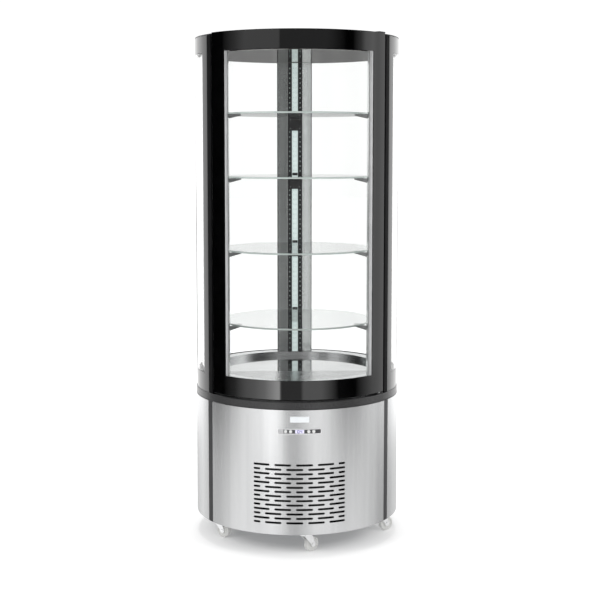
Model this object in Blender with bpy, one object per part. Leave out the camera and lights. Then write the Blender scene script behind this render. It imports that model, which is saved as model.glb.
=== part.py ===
"""Round refrigerated display case on castors, with a curved glass door and four glass shelves.

Metres, +Z up. The origin is on the floor, under the centre of the round case. The door faces -Y.
Plan angles are in degrees from the front centre (-Y), growing towards +X.
"""

import math

import bmesh
import bpy
from mathutils import Matrix, Vector

# Facets and fits
FACETS = 48  # flats once round every shell
CLEARANCE = 0.0003  # between faces that touch
BORE_CLEARANCE = 0.0004  # radial, round pins and shafts
ROOT = 0.0005  # how deep a joined shape is sunk into the body that carries it

# The round case
CASE_RADIUS = 0.350  # outside of the steel base
UPRIGHT_ANGLE = 57.4  # from the front centre to each front upright

# Base
BASE_HEIGHT = 0.4123
PANEL_THICKNESS = 0.0015
PLATE_THICKNESS = 0.004
TRIM_WIDTH = 0.0244
TRIM_GAP = 0.0012  # from a trim strip to the panels beside it
TRIM_RECESS = 0.0005  # how far the trim lies behind the panels' face
POST_WIDTH = 0.044
POST_DEPTH = 0.028
RING_HEIGHT = 0.025
RING_SETBACK = 0.001  # from the panels' face to the ring's
GLAND_RADIUS = 0.009
GLAND_BORE_RADIUS = 0.0045
GLAND_LENGTH = 0.014
GLAND_HEIGHT = 0.085  # above the chassis plate

# Louvres of the front panel
LOUVRE_ROWS = 14
LOUVRE_PITCH = 0.01475
LOUVRE_SLOT_HEIGHT = 0.0070
LOUVRE_SLOT_LENGTH = 0.055
LOUVRE_SLOT_GAP = 0.0162
LOUVRE_HALF_WIDTH = 0.154  # along the panel's curve
LOUVRE_RISE = 0.036  # from the base's bottom edge to the lowest row's bottom

# Controls
CONTROL_TOP_DROP = 0.0603  # from the base's top edge to the bezel's top
CONTROL_WALL = 0.0008  # of the body above and below the buttons
CONTROL_END_WALL = 0.005  # of the body beyond the outer buttons
CONTROL_BODY_DEPTH = 0.025
CONTROL_WINDOW_GAP = 0.0015  # round the body in the panel
BEZEL_EDGE = 0.0025  # bezel above and below the body
BEZEL_END = 0.015  # bezel beyond the body's ends
BEZEL_THICKNESS = 0.0018
BUTTON_RADIUS = 0.0052
BUTTON_NEAR_OFFSET = 0.0294  # from the display's centre to the nearer button
BUTTON_SPACING = 0.0161
BUTTON_PROUD = 0.002
BUTTON_LENGTH = 0.0095
BUTTON_TRAVEL = 0.0015
BUTTON_CLEARANCE = 0.0003

# Castors
CASTOR_COUNT = 5
CASTOR_FIRST_ANGLE = 4.0
CASTOR_INSET = 0.055  # from the case's outside to the stems
CASTOR_HEADINGS = (38.0, 28.0, 100.0, 205.0, -35.0)  # plan direction in which each wheel trails
CASTOR_TRAIL = 0.025
CASTOR_PLATE_WIDTH = 0.048
CASTOR_PLATE_THICKNESS = 0.0038
CASTOR_STEM_RADIUS = 0.005
CASTOR_STEM_LENGTH = 0.0105
CASTOR_CAP_RADIUS = 0.0212
CASTOR_CAP_HEIGHT = 0.012
WHEEL_RADIUS = 0.025
WHEEL_WIDTH = 0.018
WHEEL_FACETS = 16
WHEEL_SIDE_GAP = 0.001
WHEEL_TOP_GAP = 0.0089  # from the wheel to the fork's cap
AXLE_RADIUS = 0.004
AXLE_HEAD_RADIUS = 0.0065
AXLE_HEAD_HEIGHT = 0.0015
CHEEK_THICKNESS = 0.0025
CHEEK_EDGE = 0.002  # of the fork's cheek round the axle's head
CHEEK_RISE = 0.003  # how far the cheeks reach up into the cap

# Display cabinet
GLASS_SETBACK = 0.003  # from the base's face to the glass
OUTER_PANE = 0.005
PANE_SPACE = 0.012
INNER_PANE = 0.004
SEAL_DEPTH = 0.011  # from the door's inner pane to the frame that it closes on
RIM_HEIGHT = 0.0633  # the insulated deck rim
DISPLAY_HEIGHT = 1.064  # from the deck rim's top to the ceiling
CEILING_THICKNESS = 0.0567
LID_THICKNESS = 0.003
RIM_WALL = 0.030

# Uprights and rear column
COVER_WIDTH = 0.0218
COVER_GAP = 0.0018  # from a cover strip to the fixed pane beside it
DOOR_SIDE_GAP = 0.0061  # from a cover strip to the door's edge
WEB_WIDTH = 0.018
UPRIGHT_DEPTH = 0.0377  # from the panes' inside to the flat inner face
UPRIGHT_SEAL_WIDTH = 0.052  # of the face that the door's gasket meets
UPRIGHT_TOE = 0.020
UPRIGHT_CHAMFER = 0.0298
COLUMN_DEPTH = 0.0507
COLUMN_FACE_WIDTH = 0.054
COLUMN_WIDTH = 0.121
COLUMN_SIDE_DEPTH = 0.0207

# Shelves and their supports
SHELF_EDGE_GAP = 0.0047  # from the shelf's edge to the rear blocks
SHELF_FACETS = 48
SHELF_THICKNESS = 0.006
SHELF_SLOTS = (8, 22, 36, 48)
RAIL_SLOT_PITCH = 0.0177
RAIL_FIRST_SLOT = 0.0157  # above the deck rim
RAIL_WIDTH = 0.020
RAIL_THICKNESS = 0.0032
ARM_WIDTH = 0.012
ARM_UNDER_SHELF = 0.032
ARM_ROOT_HEIGHT = 0.017
ARM_TIP_HEIGHT = 0.005
REAR_RAIL_WIDTH = 0.0145
REAR_RAIL_THICKNESS = 0.0045
REAR_BLOCK_WIDTH = 0.043
REAR_BLOCK_HEIGHT = 0.048
REAR_BLOCK_DEPTH = 0.007
REAR_TONGUE_LENGTH = 0.020
REAR_TONGUE_HEIGHT = 0.005
REAR_TAB_WIDTH = 0.019
REAR_TAB_HEIGHT = 0.011
LIGHT_WIDTH = 0.022
LIGHT_THICKNESS = 0.0027
LIGHT_SIDE_GAP = 0.0008

# Floor of the display
FLOOR_THICKNESS = 0.003
FLOOR_DROP = 0.0162  # from the deck rim's top to the floor's face
FLOOR_JOINT = 0.037  # how far the floor's straight joint lies in front of the centre

# Evaporator well
WELL_WALL = 0.024
WELL_SIDE = 0.023
WELL_SHOULDER = 0.0167  # how far the well's top stands out over the ring
WELL_DEPTH = 0.093  # below the ring's top

# Door
DOOR_RISE = 0.003  # how far the door stands above the lid
DOOR_GAP = 0.007  # under the door
EDGE_BAR = 0.030  # width of the sealed unit's edge frame
GASKET_WIDTH = 0.012
GASKET_SIDE_INSET = 0.031
GASKET_END_INSET = 0.027
PIVOT_INSET = 0.0123  # from the door's edge to the pivot's axis
PIVOT_PIN_RADIUS = 0.003
PIVOT_PIN_LENGTH = 0.014
PIVOT_COLLAR_RADIUS = 0.006
HINGE_PLATE_THICKNESS = 0.003
HINGE_PLATE_LENGTH = 0.034
HINGE_PLATE_OVERHANG = 0.009
HINGE_FOOT_DEPTH = 0.021
HINGE_FOOT_GAP = 0.0015
LID_DOOR_CLEARANCE = 0.008  # from the lid's front edge to the door's inner pane

# Cooling machinery
COMPRESSOR_RADIUS = 0.080
COMPRESSOR_HEIGHT = 0.185
COMPRESSOR_FLANGE = 0.014
COMPRESSOR_FOOT_HEIGHT = 0.008
COMPRESSOR_FILLET = 0.004
COMPRESSOR_PLACE = (-0.090, 0.110)
CONDENSER_WIDTH = 0.240
CONDENSER_HEIGHT = 0.250
CONDENSER_DEPTH = 0.030
CONDENSER_SETBACK = 0.084  # from the case's outside, at the front
FIN_PITCH = 0.0182
FIN_THICKNESS = 0.0045
FIN_BACK = 0.008
SHROUD_THICKNESS = 0.002
SHROUD_SIDE = 0.040  # from the fan blades' tips to the shroud's sides
FAN_TIP_GAP = 0.008  # from the blades to the shroud's hole
FAN_BLADES = 5
FAN_CHORD = 0.030
FAN_TILT = 25.0
FAN_BLADE_THICKNESS = 0.002
HUB_RADIUS = 0.020
HUB_LENGTH = 0.020
SHAFT_RADIUS = 0.004
HUB_END = 0.004  # solid end of a hub, past its bore
CONDENSER_FAN_SETBACK = 0.006  # from the shroud to the fan's hub
MOTOR_GAP = 0.004  # from a fan's hub to its motor's bracket
MOTOR_RADIUS = 0.036
MOTOR_LENGTH = 0.048
STRAP_WIDTH = 0.010
STRAP_THICKNESS = 0.004
STRAP_END = 0.017  # how far the motor's strap reaches past the shroud's hole
EVAPORATOR_WIDTH = 0.220
EVAPORATOR_DEPTH = 0.080
EVAPORATOR_HEIGHT = 0.085
EVAPORATOR_FRONT = 0.015
EVAPORATOR_FAN_RADIUS = 0.060
EVAPORATOR_FAN_SETBACK = 0.085
EVAPORATOR_MOTOR_RADIUS = 0.030
EVAPORATOR_MOTOR_HEIGHT = 0.044

# Heights worked out from the sizes above
facet_angle = 360.0 / FACETS
back_angle = math.degrees(math.pi)  # plan angle of the back of the case
fork_cap_bottom = 2.0 * WHEEL_RADIUS + WHEEL_TOP_GAP
fork_cap_top = fork_cap_bottom + CASTOR_CAP_HEIGHT
castor_plate_bottom = fork_cap_top + CLEARANCE
plate_bottom = castor_plate_bottom + CASTOR_PLATE_THICKNESS
plate_top = plate_bottom + PLATE_THICKNESS
base_top = plate_bottom + BASE_HEIGHT
ring_bottom = base_top + CLEARANCE
ring_top = ring_bottom + RING_HEIGHT
cabinet_bottom = ring_top + CLEARANCE
rim_top = cabinet_bottom + RIM_HEIGHT
post_bottom = rim_top + CLEARANCE
ceiling_bottom = rim_top + DISPLAY_HEIGHT
post_top = ceiling_bottom - CLEARANCE
ceiling_top = ceiling_bottom + CEILING_THICKNESS
lid_bottom = ceiling_top + CLEARANCE
lid_top = lid_bottom + LID_THICKNESS
cabinet_top = ceiling_top
door_bottom = ring_top + DOOR_GAP
door_top = lid_top + DOOR_RISE
floor_top = rim_top - FLOOR_DROP
floor_bottom = floor_top - FLOOR_THICKNESS
well_top = floor_bottom - CLEARANCE
well_bottom = ring_top - WELL_DEPTH
well_floor = well_bottom + WELL_WALL

# Radii worked out from the sizes above
panel_inner = CASE_RADIUS - PANEL_THICKNESS
ring_radius = CASE_RADIUS - RING_SETBACK
castor_circle = CASE_RADIUS - CASTOR_INSET
condenser_front = CONDENSER_SETBACK - CASE_RADIUS
glass_radius = CASE_RADIUS - GLASS_SETBACK
outer_pane_inner = glass_radius - OUTER_PANE
inner_pane_outer = outer_pane_inner - PANE_SPACE
unit_inner = inner_pane_outer - INNER_PANE
seal_radius = unit_inner - SEAL_DEPTH
shoulder_radius = unit_inner - CLEARANCE
web_radius = outer_pane_inner - 0.5 * PANE_SPACE
cover_inner = web_radius + CLEARANCE
rim_inner = seal_radius - RIM_WALL
ring_inner = rim_inner - WELL_SHOULDER
well_neck = ring_inner - CLEARANCE
well_bore = well_neck - WELL_SIDE
upright_face = shoulder_radius - UPRIGHT_DEPTH
column_face = shoulder_radius - COLUMN_DEPTH
column_side = shoulder_radius - COLUMN_SIDE_DEPTH
rear_rail_face = column_face - CLEARANCE - REAR_RAIL_THICKNESS
rear_block_face = rear_rail_face + ROOT - REAR_BLOCK_DEPTH
shelf_radius = rear_block_face - SHELF_EDGE_GAP
arm_reach = shelf_radius - ARM_UNDER_SHELF
frame_middle = 0.5 * (inner_pane_outer + outer_pane_inner)
condenser_fan_radius = 0.5 * CONDENSER_WIDTH - SHROUD_SIDE
shroud_hole = condenser_fan_radius + FAN_TIP_GAP
strap_reach = shroud_hole + STRAP_END
shaft_in_hub = HUB_LENGTH - HUB_END
control_body_height = 2.0 * (BUTTON_RADIUS + BUTTON_CLEARANCE + CONTROL_WALL)
control_body_half = BUTTON_NEAR_OFFSET + BUTTON_SPACING + BUTTON_RADIUS + BUTTON_CLEARANCE + CONTROL_END_WALL
control_height = control_body_height + 2.0 * BEZEL_EDGE
control_half = control_body_half + BEZEL_END


def degrees_of(length, radius=CASE_RADIUS):
    """The plan angle that a length takes along a circle."""
    return math.degrees(length / radius)


# Plan angles worked out from the sizes above
cover_half = degrees_of(0.5 * COVER_WIDTH, glass_radius)
web_half = degrees_of(0.5 * WEB_WIDTH, glass_radius)
trim_half = degrees_of(0.5 * TRIM_WIDTH)
trim_gap = degrees_of(TRIM_GAP)
pane_start = UPRIGHT_ANGLE + cover_half + degrees_of(COVER_GAP, glass_radius)
pane_end = back_angle - cover_half - degrees_of(COVER_GAP, glass_radius)
door_half = UPRIGHT_ANGLE - cover_half - degrees_of(DOOR_SIDE_GAP, glass_radius)
seal_end = UPRIGHT_ANGLE - web_half
seal_start = seal_end - degrees_of(UPRIGHT_SEAL_WIDTH, seal_radius)
pivot_angle = door_half - degrees_of(PIVOT_INSET, frame_middle)


def polar(angle, radius, height=0.0):
    """A point at a plan angle from the front, a radius and a height."""
    turn = math.radians(angle)
    return Vector((radius * math.sin(turn), -radius * math.cos(turn), height))


def on_flat(angle, radius, height=0.0):
    """The same point on the flats of a shell whose corners lie at that radius."""
    half = 0.5 * facet_angle
    middle = math.floor(angle / facet_angle) * facet_angle + half
    flat = math.cos(math.radians(half)) / math.cos(math.radians(angle - middle))
    return polar(angle, radius * flat, height)


def local(angle, across, out, height=0.0):
    """A point measured square to the radius at a plan angle: across towards larger angles, then outward."""
    turn = math.radians(angle)
    outward = Vector((math.sin(turn), -math.cos(turn), 0.0))
    sideways = Vector((math.cos(turn), math.sin(turn), 0.0))
    return outward * out + sideways * across + Vector((0.0, 0.0, height))


def facet_angles(start, end, extra=()):
    """The angles from start to end with the case's facet lines and any others between them."""
    first = math.floor(start / facet_angle) + 1
    last = math.ceil(end / facet_angle) - 1
    lines = [step * facet_angle for step in range(first, last + 1)]
    lines += [angle for angle in extra if start < angle < end]
    kept = [start]
    for angle in sorted(lines):
        if angle - kept[-1] > 0.02 and end - angle > 0.02:
            kept.append(angle)
    return kept + [end]


def full_circle():
    """Every facet line once round."""
    count = round(360.0 / facet_angle)
    return [step * 360.0 / count for step in range(count)]


def arc(start, end, radius):
    """Plan points along a shell, from start to end."""
    steps = facet_angles(min(start, end), max(start, end))
    if end < start:
        steps.reverse()
    return [on_flat(angle, radius) for angle in steps]


def coat(name, colour, roughness, metallic=0.0, alpha=1.0):
    """A plain finish: colour, roughness and metal."""
    material = bpy.data.materials.get(name)
    if material is None:
        material = bpy.data.materials.new(name)
        material.use_nodes = True
        shader = material.node_tree.nodes["Principled BSDF"]
        shader.inputs["Base Color"].default_value = (*colour, 1.0)
        shader.inputs["Roughness"].default_value = roughness
        shader.inputs["Metallic"].default_value = metallic
        shader.inputs["Alpha"].default_value = alpha
        material.diffuse_color = (*colour, alpha)
    return material


def brushed_steel():
    return coat("brushed_steel", (0.62, 0.62, 0.61), 0.32, 1.0)


def polished_steel():
    return coat("polished_steel", (0.58, 0.58, 0.58), 0.12, 1.0)


def zinc():
    return coat("zinc", (0.70, 0.70, 0.68), 0.35, 1.0)


def black_glass():
    return coat("black_gloss", (0.012, 0.012, 0.013), 0.08)


def black_satin():
    return coat("black_satin", (0.022, 0.022, 0.024), 0.38)


def clear_glass():
    return coat("clear_glass", (0.86, 0.93, 0.91), 0.02, 0.0, 0.25)


def anodised():
    return coat("anodised", (0.42, 0.43, 0.43), 0.30, 1.0)


def keep(mesh, name, material, smooth=True):
    """Makes a named object of a mesh under construction."""
    bmesh.ops.recalc_face_normals(mesh, faces=mesh.faces)
    data = bpy.data.meshes.new(name)
    mesh.to_mesh(data)
    mesh.free()
    if smooth:
        data.shade_smooth()
        data.set_sharp_from_angle(angle=math.radians(28.0))
    made = bpy.data.objects.new(name, data)
    bpy.context.collection.objects.link(made)
    if material is not None:
        data.materials.append(material)
    return made


def curved_sheet(name, material, inner, outer, angles, heights, closed=False, is_open=None):
    """A plate curved round the case between two radii, with cells left out where is_open says so."""
    mesh = bmesh.new()
    corners = {}
    columns = len(angles) if closed else len(angles) - 1
    rows = len(heights) - 1

    def corner(column, row, radius):
        column = column % len(angles)
        key = (column, row, radius)
        if key not in corners:
            corners[key] = mesh.verts.new(on_flat(angles[column], radius, heights[row]))
        return corners[key]

    def filled(column, row):
        if closed:
            column = column % columns
        if not (0 <= column < columns and 0 <= row < rows):
            return False
        if is_open is None:
            return True
        following = angles[(column + 1) % len(angles)]
        middle = 0.5 * (angles[column] + following)
        return not is_open(middle, 0.5 * (heights[row] + heights[row + 1]))

    for column in range(columns):
        for row in range(rows):
            if not filled(column, row):
                continue
            low, high, left, right = row, row + 1, column, column + 1
            around = [(left, low), (right, low), (right, high), (left, high)]
            mesh.faces.new([corner(c, r, outer) for c, r in around])
            mesh.faces.new([corner(c, r, inner) for c, r in reversed(around)])
            sides = [
                (filled(column, row - 1), (left, low), (right, low)),
                (filled(column + 1, row), (right, low), (right, high)),
                (filled(column, row + 1), (right, high), (left, high)),
                (filled(column - 1, row), (left, high), (left, low)),
            ]
            for neighbour, a, b in sides:
                if not neighbour:
                    mesh.faces.new(
                        [corner(*b, outer), corner(*a, outer), corner(*a, inner), corner(*b, inner)]
                    )
    bmesh.ops.recalc_face_normals(mesh, faces=mesh.faces)
    bmesh.ops.dissolve_limit(mesh, angle_limit=math.radians(0.2), verts=mesh.verts, edges=mesh.edges)
    return keep(mesh, name, material)


def extruded(name, material, outline, bottom, top):
    """A closed plan outline raised from one height to another."""
    mesh = bmesh.new()
    corners = [mesh.verts.new((point.x, point.y, bottom)) for point in outline]
    face = mesh.faces.new(corners)
    raised = bmesh.ops.extrude_face_region(mesh, geom=[face])
    moved = [part for part in raised["geom"] if isinstance(part, bmesh.types.BMVert)]
    bmesh.ops.translate(mesh, vec=(0.0, 0.0, top - bottom), verts=moved)
    return keep(mesh, name, material)


def stepped_ring(name, material, outline, inner, bottom, top):
    """A flat ring whose outer edge follows (angle, radius) steps round a plain round hole."""
    mesh = bmesh.new()
    outer_corners = {}
    inner_corners = {}

    def outer(index, height):
        index = index % len(outline)
        if (index, height) not in outer_corners:
            outer_corners[index, height] = mesh.verts.new(on_flat(*outline[index], height))
        return outer_corners[index, height]

    def inside(index, height):
        angle = round(outline[index % len(outline)][0] % 360.0, 6)
        if (angle, height) not in inner_corners:
            inner_corners[angle, height] = mesh.verts.new(on_flat(angle, inner, height))
        return inner_corners[angle, height]

    for index in range(len(outline)):
        following = index + 1
        mesh.faces.new([outer(index, bottom), outer(following, bottom), outer(following, top), outer(index, top)])
        for height in (bottom, top):
            loop = [outer(index, height), outer(following, height)]
            for corner in (inside(following, height), inside(index, height)):
                if corner not in loop:
                    loop.append(corner)
            mesh.faces.new(loop)
        if inside(index, bottom) is not inside(following, bottom):
            mesh.faces.new(
                [inside(following, bottom), inside(index, bottom), inside(index, top), inside(following, top)]
            )
    return keep(mesh, name, material)


def turned(name, material, profile, segments=24, ring=False, phase=0.0):
    """A (radius, height) profile turned about +Z. A ring's profile closes on itself, others end on the axis."""
    mesh = bmesh.new()
    circles = []
    for radius, height in profile:
        if radius == 0.0:
            circles.append([mesh.verts.new((0.0, 0.0, height))])
            continue
        circle = []
        for step in range(segments):
            turn = math.tau * (step + phase) / segments
            circle.append(mesh.verts.new((radius * math.cos(turn), radius * math.sin(turn), height)))
        circles.append(circle)
    pairs = list(zip(circles, circles[1:]))
    if ring:
        pairs.append((circles[-1], circles[0]))
    for first, second in pairs:
        for step in range(segments):
            after = (step + 1) % segments
            loop = []
            for corner in (
                first[step % len(first)],
                first[after % len(first)],
                second[after % len(second)],
                second[step % len(second)],
            ):
                if corner not in loop:
                    loop.append(corner)
            mesh.faces.new(loop)
    return keep(mesh, name, material)


def box(name, material, low, high):
    """A plain block between two corners."""
    outline = [
        Vector((low[0], low[1], 0.0)),
        Vector((high[0], low[1], 0.0)),
        Vector((high[0], high[1], 0.0)),
        Vector((low[0], high[1], 0.0)),
    ]
    return extruded(name, material, outline, low[2], high[2])


def radial_block(name, material, angle, across, out, heights):
    """A block set square to the radius at a plan angle."""
    outline = [
        local(angle, across[0], out[0]),
        local(angle, across[0], out[1]),
        local(angle, across[1], out[1]),
        local(angle, across[1], out[0]),
    ]
    return extruded(name, material, outline, heights[0], heights[1])


def combine(target, tools, operation):
    """Joins tools to a body, or cuts them from it, and removes the tools."""
    for tool in tools:
        modifier = target.modifiers.new(operation.lower(), "BOOLEAN")
        modifier.operation = operation
        modifier.solver = "EXACT"
        modifier.object = tool
    bpy.context.view_layer.update()
    evaluated = target.evaluated_get(bpy.context.evaluated_depsgraph_get())
    result = bpy.data.meshes.new_from_object(evaluated)
    target.modifiers.clear()
    target.data = result
    for tool in tools:
        bpy.data.objects.remove(tool)
    result.shade_smooth()
    result.set_sharp_from_angle(angle=math.radians(28.0))
    return target


def join(target, tools):
    return combine(target, tools, "UNION")


def cut(target, tools):
    return combine(target, tools, "DIFFERENCE")


def turn_mesh(made, matrix):
    """Moves a piece's mesh and leaves its origin where it is."""
    made.data.transform(matrix)
    return made


def lay_along(made, direction, point):
    """Turns a piece made about +Z so that +Z lies along a direction from a point."""
    turn = Vector((0.0, 0.0, 1.0)).rotation_difference(direction).to_matrix().to_4x4()
    return turn_mesh(made, Matrix.Translation(point) @ turn)


def cylinder(name, material, radius, point, direction, length, segments=16):
    """A round bar from a point along a direction."""
    profile = [(0.0, 0.0), (radius, 0.0), (radius, length), (0.0, length)]
    return lay_along(turned(name, material, profile, segments), direction, point)


def origin_at(made, point):
    """Puts a piece's origin on its joint without moving the piece."""
    made.data.transform(Matrix.Translation(-point))
    made.location = point
    return made


def hang_on(made, empty):
    """Parents a piece to the empty on its joint's axis without moving it."""
    made.data.transform(Matrix.Translation(-empty.location))
    made.parent = empty
    return made


def mirrored(made, name):
    """The same piece on the other side of the case."""
    data = made.data.copy()
    data.transform(Matrix.Diagonal((-1.0, 1.0, 1.0, 1.0)))
    data.flip_normals()
    other = bpy.data.objects.new(name, data)
    bpy.context.collection.objects.link(other)
    return other


# Base: panels, trim, chassis and ring

def build_front_panel():
    """Brushed steel front panel with staggered louvre slots and the window for the controls."""
    half = UPRIGHT_ANGLE - trim_half - trim_gap
    louvre_half = degrees_of(LOUVRE_HALF_WIDTH)
    slot = degrees_of(LOUVRE_SLOT_LENGTH)
    pitch = slot + degrees_of(LOUVRE_SLOT_GAP)
    starts = []
    while -louvre_half + len(starts) * pitch < louvre_half:
        starts.append(-louvre_half + len(starts) * pitch)
    slots = [(start, min(start + slot, louvre_half)) for start in starts]
    turned_over = [(-end, -start) for start, end in reversed(slots)]
    lowest = plate_bottom + LOUVRE_RISE
    rows = [lowest + row * LOUVRE_PITCH for row in range(LOUVRE_ROWS)]
    body_half = degrees_of(control_body_half + CONTROL_WINDOW_GAP)
    body_low, body_high = control_body_heights(CONTROL_WINDOW_GAP)

    def is_open(angle, height):
        if abs(angle) < body_half and body_low < height < body_high:
            return True
        for number, row in enumerate(reversed(rows)):
            if row < height < row + LOUVRE_SLOT_HEIGHT:
                pattern = slots if number % 2 == 0 else turned_over
                return any(start < angle < end for start, end in pattern)
        return False

    edges = [edge for pair in slots + turned_over for edge in pair] + [-body_half, body_half]
    heights = [plate_bottom, base_top, body_low, body_high]
    for row in rows:
        heights += [row, row + LOUVRE_SLOT_HEIGHT]
    curved_sheet(
        "louvred_front_panel", brushed_steel(), panel_inner, CASE_RADIUS,
        facet_angles(-half, half, edges), sorted(heights), is_open=is_open,
    )


def control_body_heights(margin=0.0):
    """Lowest and highest point of the controls' body behind the panel."""
    middle = base_top - CONTROL_TOP_DROP - 0.5 * control_height
    half = 0.5 * control_body_height + margin
    return middle - half, middle + half


def build_side_panels():
    start = UPRIGHT_ANGLE + trim_half + trim_gap
    end = back_angle - trim_half - trim_gap
    right = curved_sheet(
        "right_base_panel", brushed_steel(), panel_inner, CASE_RADIUS,
        facet_angles(start, end), [plate_bottom, base_top],
    )
    mirrored(right, "left_base_panel")


def build_trims():
    """Dark strips over the three seams. The rear one carries the cable gland."""
    outside = CASE_RADIUS - TRIM_RECESS
    heights = [plate_bottom, base_top]

    def strip(name, angle):
        return curved_sheet(
            name, black_satin(), panel_inner, outside, facet_angles(angle - trim_half, angle + trim_half), heights
        )

    mirrored(strip("right_base_trim", UPRIGHT_ANGLE), "left_base_trim")
    rear_strip = strip("rear_base_trim", back_angle)
    height = gland_height()
    collar = cylinder(
        "gland", None, GLAND_RADIUS, polar(back_angle, panel_inner - GLAND_LENGTH, height),
        polar(back_angle, 1.0), GLAND_LENGTH + PANEL_THICKNESS, 12,
    )
    bore = cylinder(
        "gland_bore", None, GLAND_BORE_RADIUS, polar(back_angle, panel_inner - 2.0 * GLAND_LENGTH, height),
        polar(back_angle, 1.0), 3.0 * GLAND_LENGTH, 12,
    )
    cut(join(rear_strip, [collar]), [bore])


def gland_height():
    return plate_top + GLAND_HEIGHT


def castor_places():
    """Plan angle and heading of each castor."""
    spacing = 360.0 / CASTOR_COUNT
    places = []
    for number in range(CASTOR_COUNT):
        angle = CASTOR_FIRST_ANGLE + number * spacing
        places.append((angle, CASTOR_HEADINGS[number % len(CASTOR_HEADINGS)]))
    return places


def build_chassis():
    """Bottom plate with three posts for the ring, and the castors' plates and stems underneath."""
    radius = panel_inner - CLEARANCE
    segments = len(full_circle())
    plate = turned(
        "chassis", zinc(),
        [(0.0, plate_bottom), (radius, plate_bottom), (radius, plate_top), (0.0, plate_top)],
        segments,
    )
    half = degrees_of(0.5 * POST_WIDTH)
    face = radius - ROOT
    tools = []
    for angle in (UPRIGHT_ANGLE, -UPRIGHT_ANGLE, back_angle):
        outline = arc(angle - half, angle + half, face)
        outline += arc(angle + half, angle - half, face - POST_DEPTH)
        tools.append(extruded("post", None, outline, plate_bottom + 0.5 * PLATE_THICKNESS, base_top))
    middle = plate_bottom + 0.5 * PLATE_THICKNESS
    pad = 0.5 * CASTOR_PLATE_WIDTH
    for angle, _ in castor_places():
        tools.append(
            radial_block(
                "pad", None, angle, (-pad, pad),
                (castor_circle - pad, castor_circle + pad), (castor_plate_bottom, middle),
            )
        )
        stem_bottom = castor_plate_bottom - CASTOR_STEM_LENGTH
        tools.append(
            cylinder(
                "stem", None, CASTOR_STEM_RADIUS, polar(angle, castor_circle, stem_bottom),
                Vector((0.0, 0.0, 1.0)), middle - stem_bottom, 12,
            )
        )
    gland_hole = cylinder(
        "gland_hole", None, GLAND_RADIUS + CLEARANCE, polar(back_angle, face - 2.0 * POST_DEPTH, gland_height()),
        polar(back_angle, 1.0), 3.0 * POST_DEPTH, 12,
    )
    cut(join(plate, tools), [gland_hole])


def build_ring():
    curved_sheet(
        "base_ring", black_satin(), ring_inner, ring_radius, full_circle(), [ring_bottom, ring_top], closed=True
    )


# Controls

def build_controls():
    """Bezel across the front panel, its body behind, and four round push buttons in blind bores."""
    bezel_inner = CASE_RADIUS + CLEARANCE
    bezel_outer = bezel_inner + BEZEL_THICKNESS
    bezel_high = base_top - CONTROL_TOP_DROP
    half = degrees_of(control_half)
    panel = curved_sheet(
        "control_panel", black_satin(), bezel_inner, bezel_outer, facet_angles(-half, half),
        [bezel_high - control_height, bezel_high],
    )
    body_half = degrees_of(control_body_half)
    body = curved_sheet(
        "control_body", None, bezel_inner - CONTROL_BODY_DEPTH, 0.5 * (bezel_inner + bezel_outer),
        facet_angles(-body_half, body_half), list(control_body_heights()),
    )
    join(panel, [body])
    height = bezel_high - 0.5 * control_height
    offsets = [
        -BUTTON_NEAR_OFFSET - BUTTON_SPACING,
        -BUTTON_NEAR_OFFSET,
        BUTTON_NEAR_OFFSET,
        BUTTON_NEAR_OFFSET + BUTTON_SPACING,
    ]
    back = bezel_outer + BUTTON_PROUD - BUTTON_LENGTH
    bores = []
    for offset in offsets:
        angle = degrees_of(offset)
        bores.append(
            cylinder(
                "bore", None, BUTTON_RADIUS + BUTTON_CLEARANCE,
                polar(angle, back - BUTTON_TRAVEL - CLEARANCE, height), polar(angle, 1.0), 2.0 * BUTTON_LENGTH, 12,
            )
        )
    cut(panel, bores)
    cap = coat("button_grey", (0.80, 0.80, 0.80), 0.45)
    for number, offset in enumerate(offsets, start=1):
        angle = degrees_of(offset)
        seat = polar(angle, back, height)
        profile = [(0.0, 0.0), (BUTTON_RADIUS, 0.0), (BUTTON_RADIUS, BUTTON_LENGTH), (0.0, BUTTON_LENGTH)]
        button = turned(f"button_{number}", cap, profile, 12)
        lay_along(button, polar(angle, 1.0), Vector((0.0, 0.0, 0.0)))
        button.location = seat


# Castors

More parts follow.
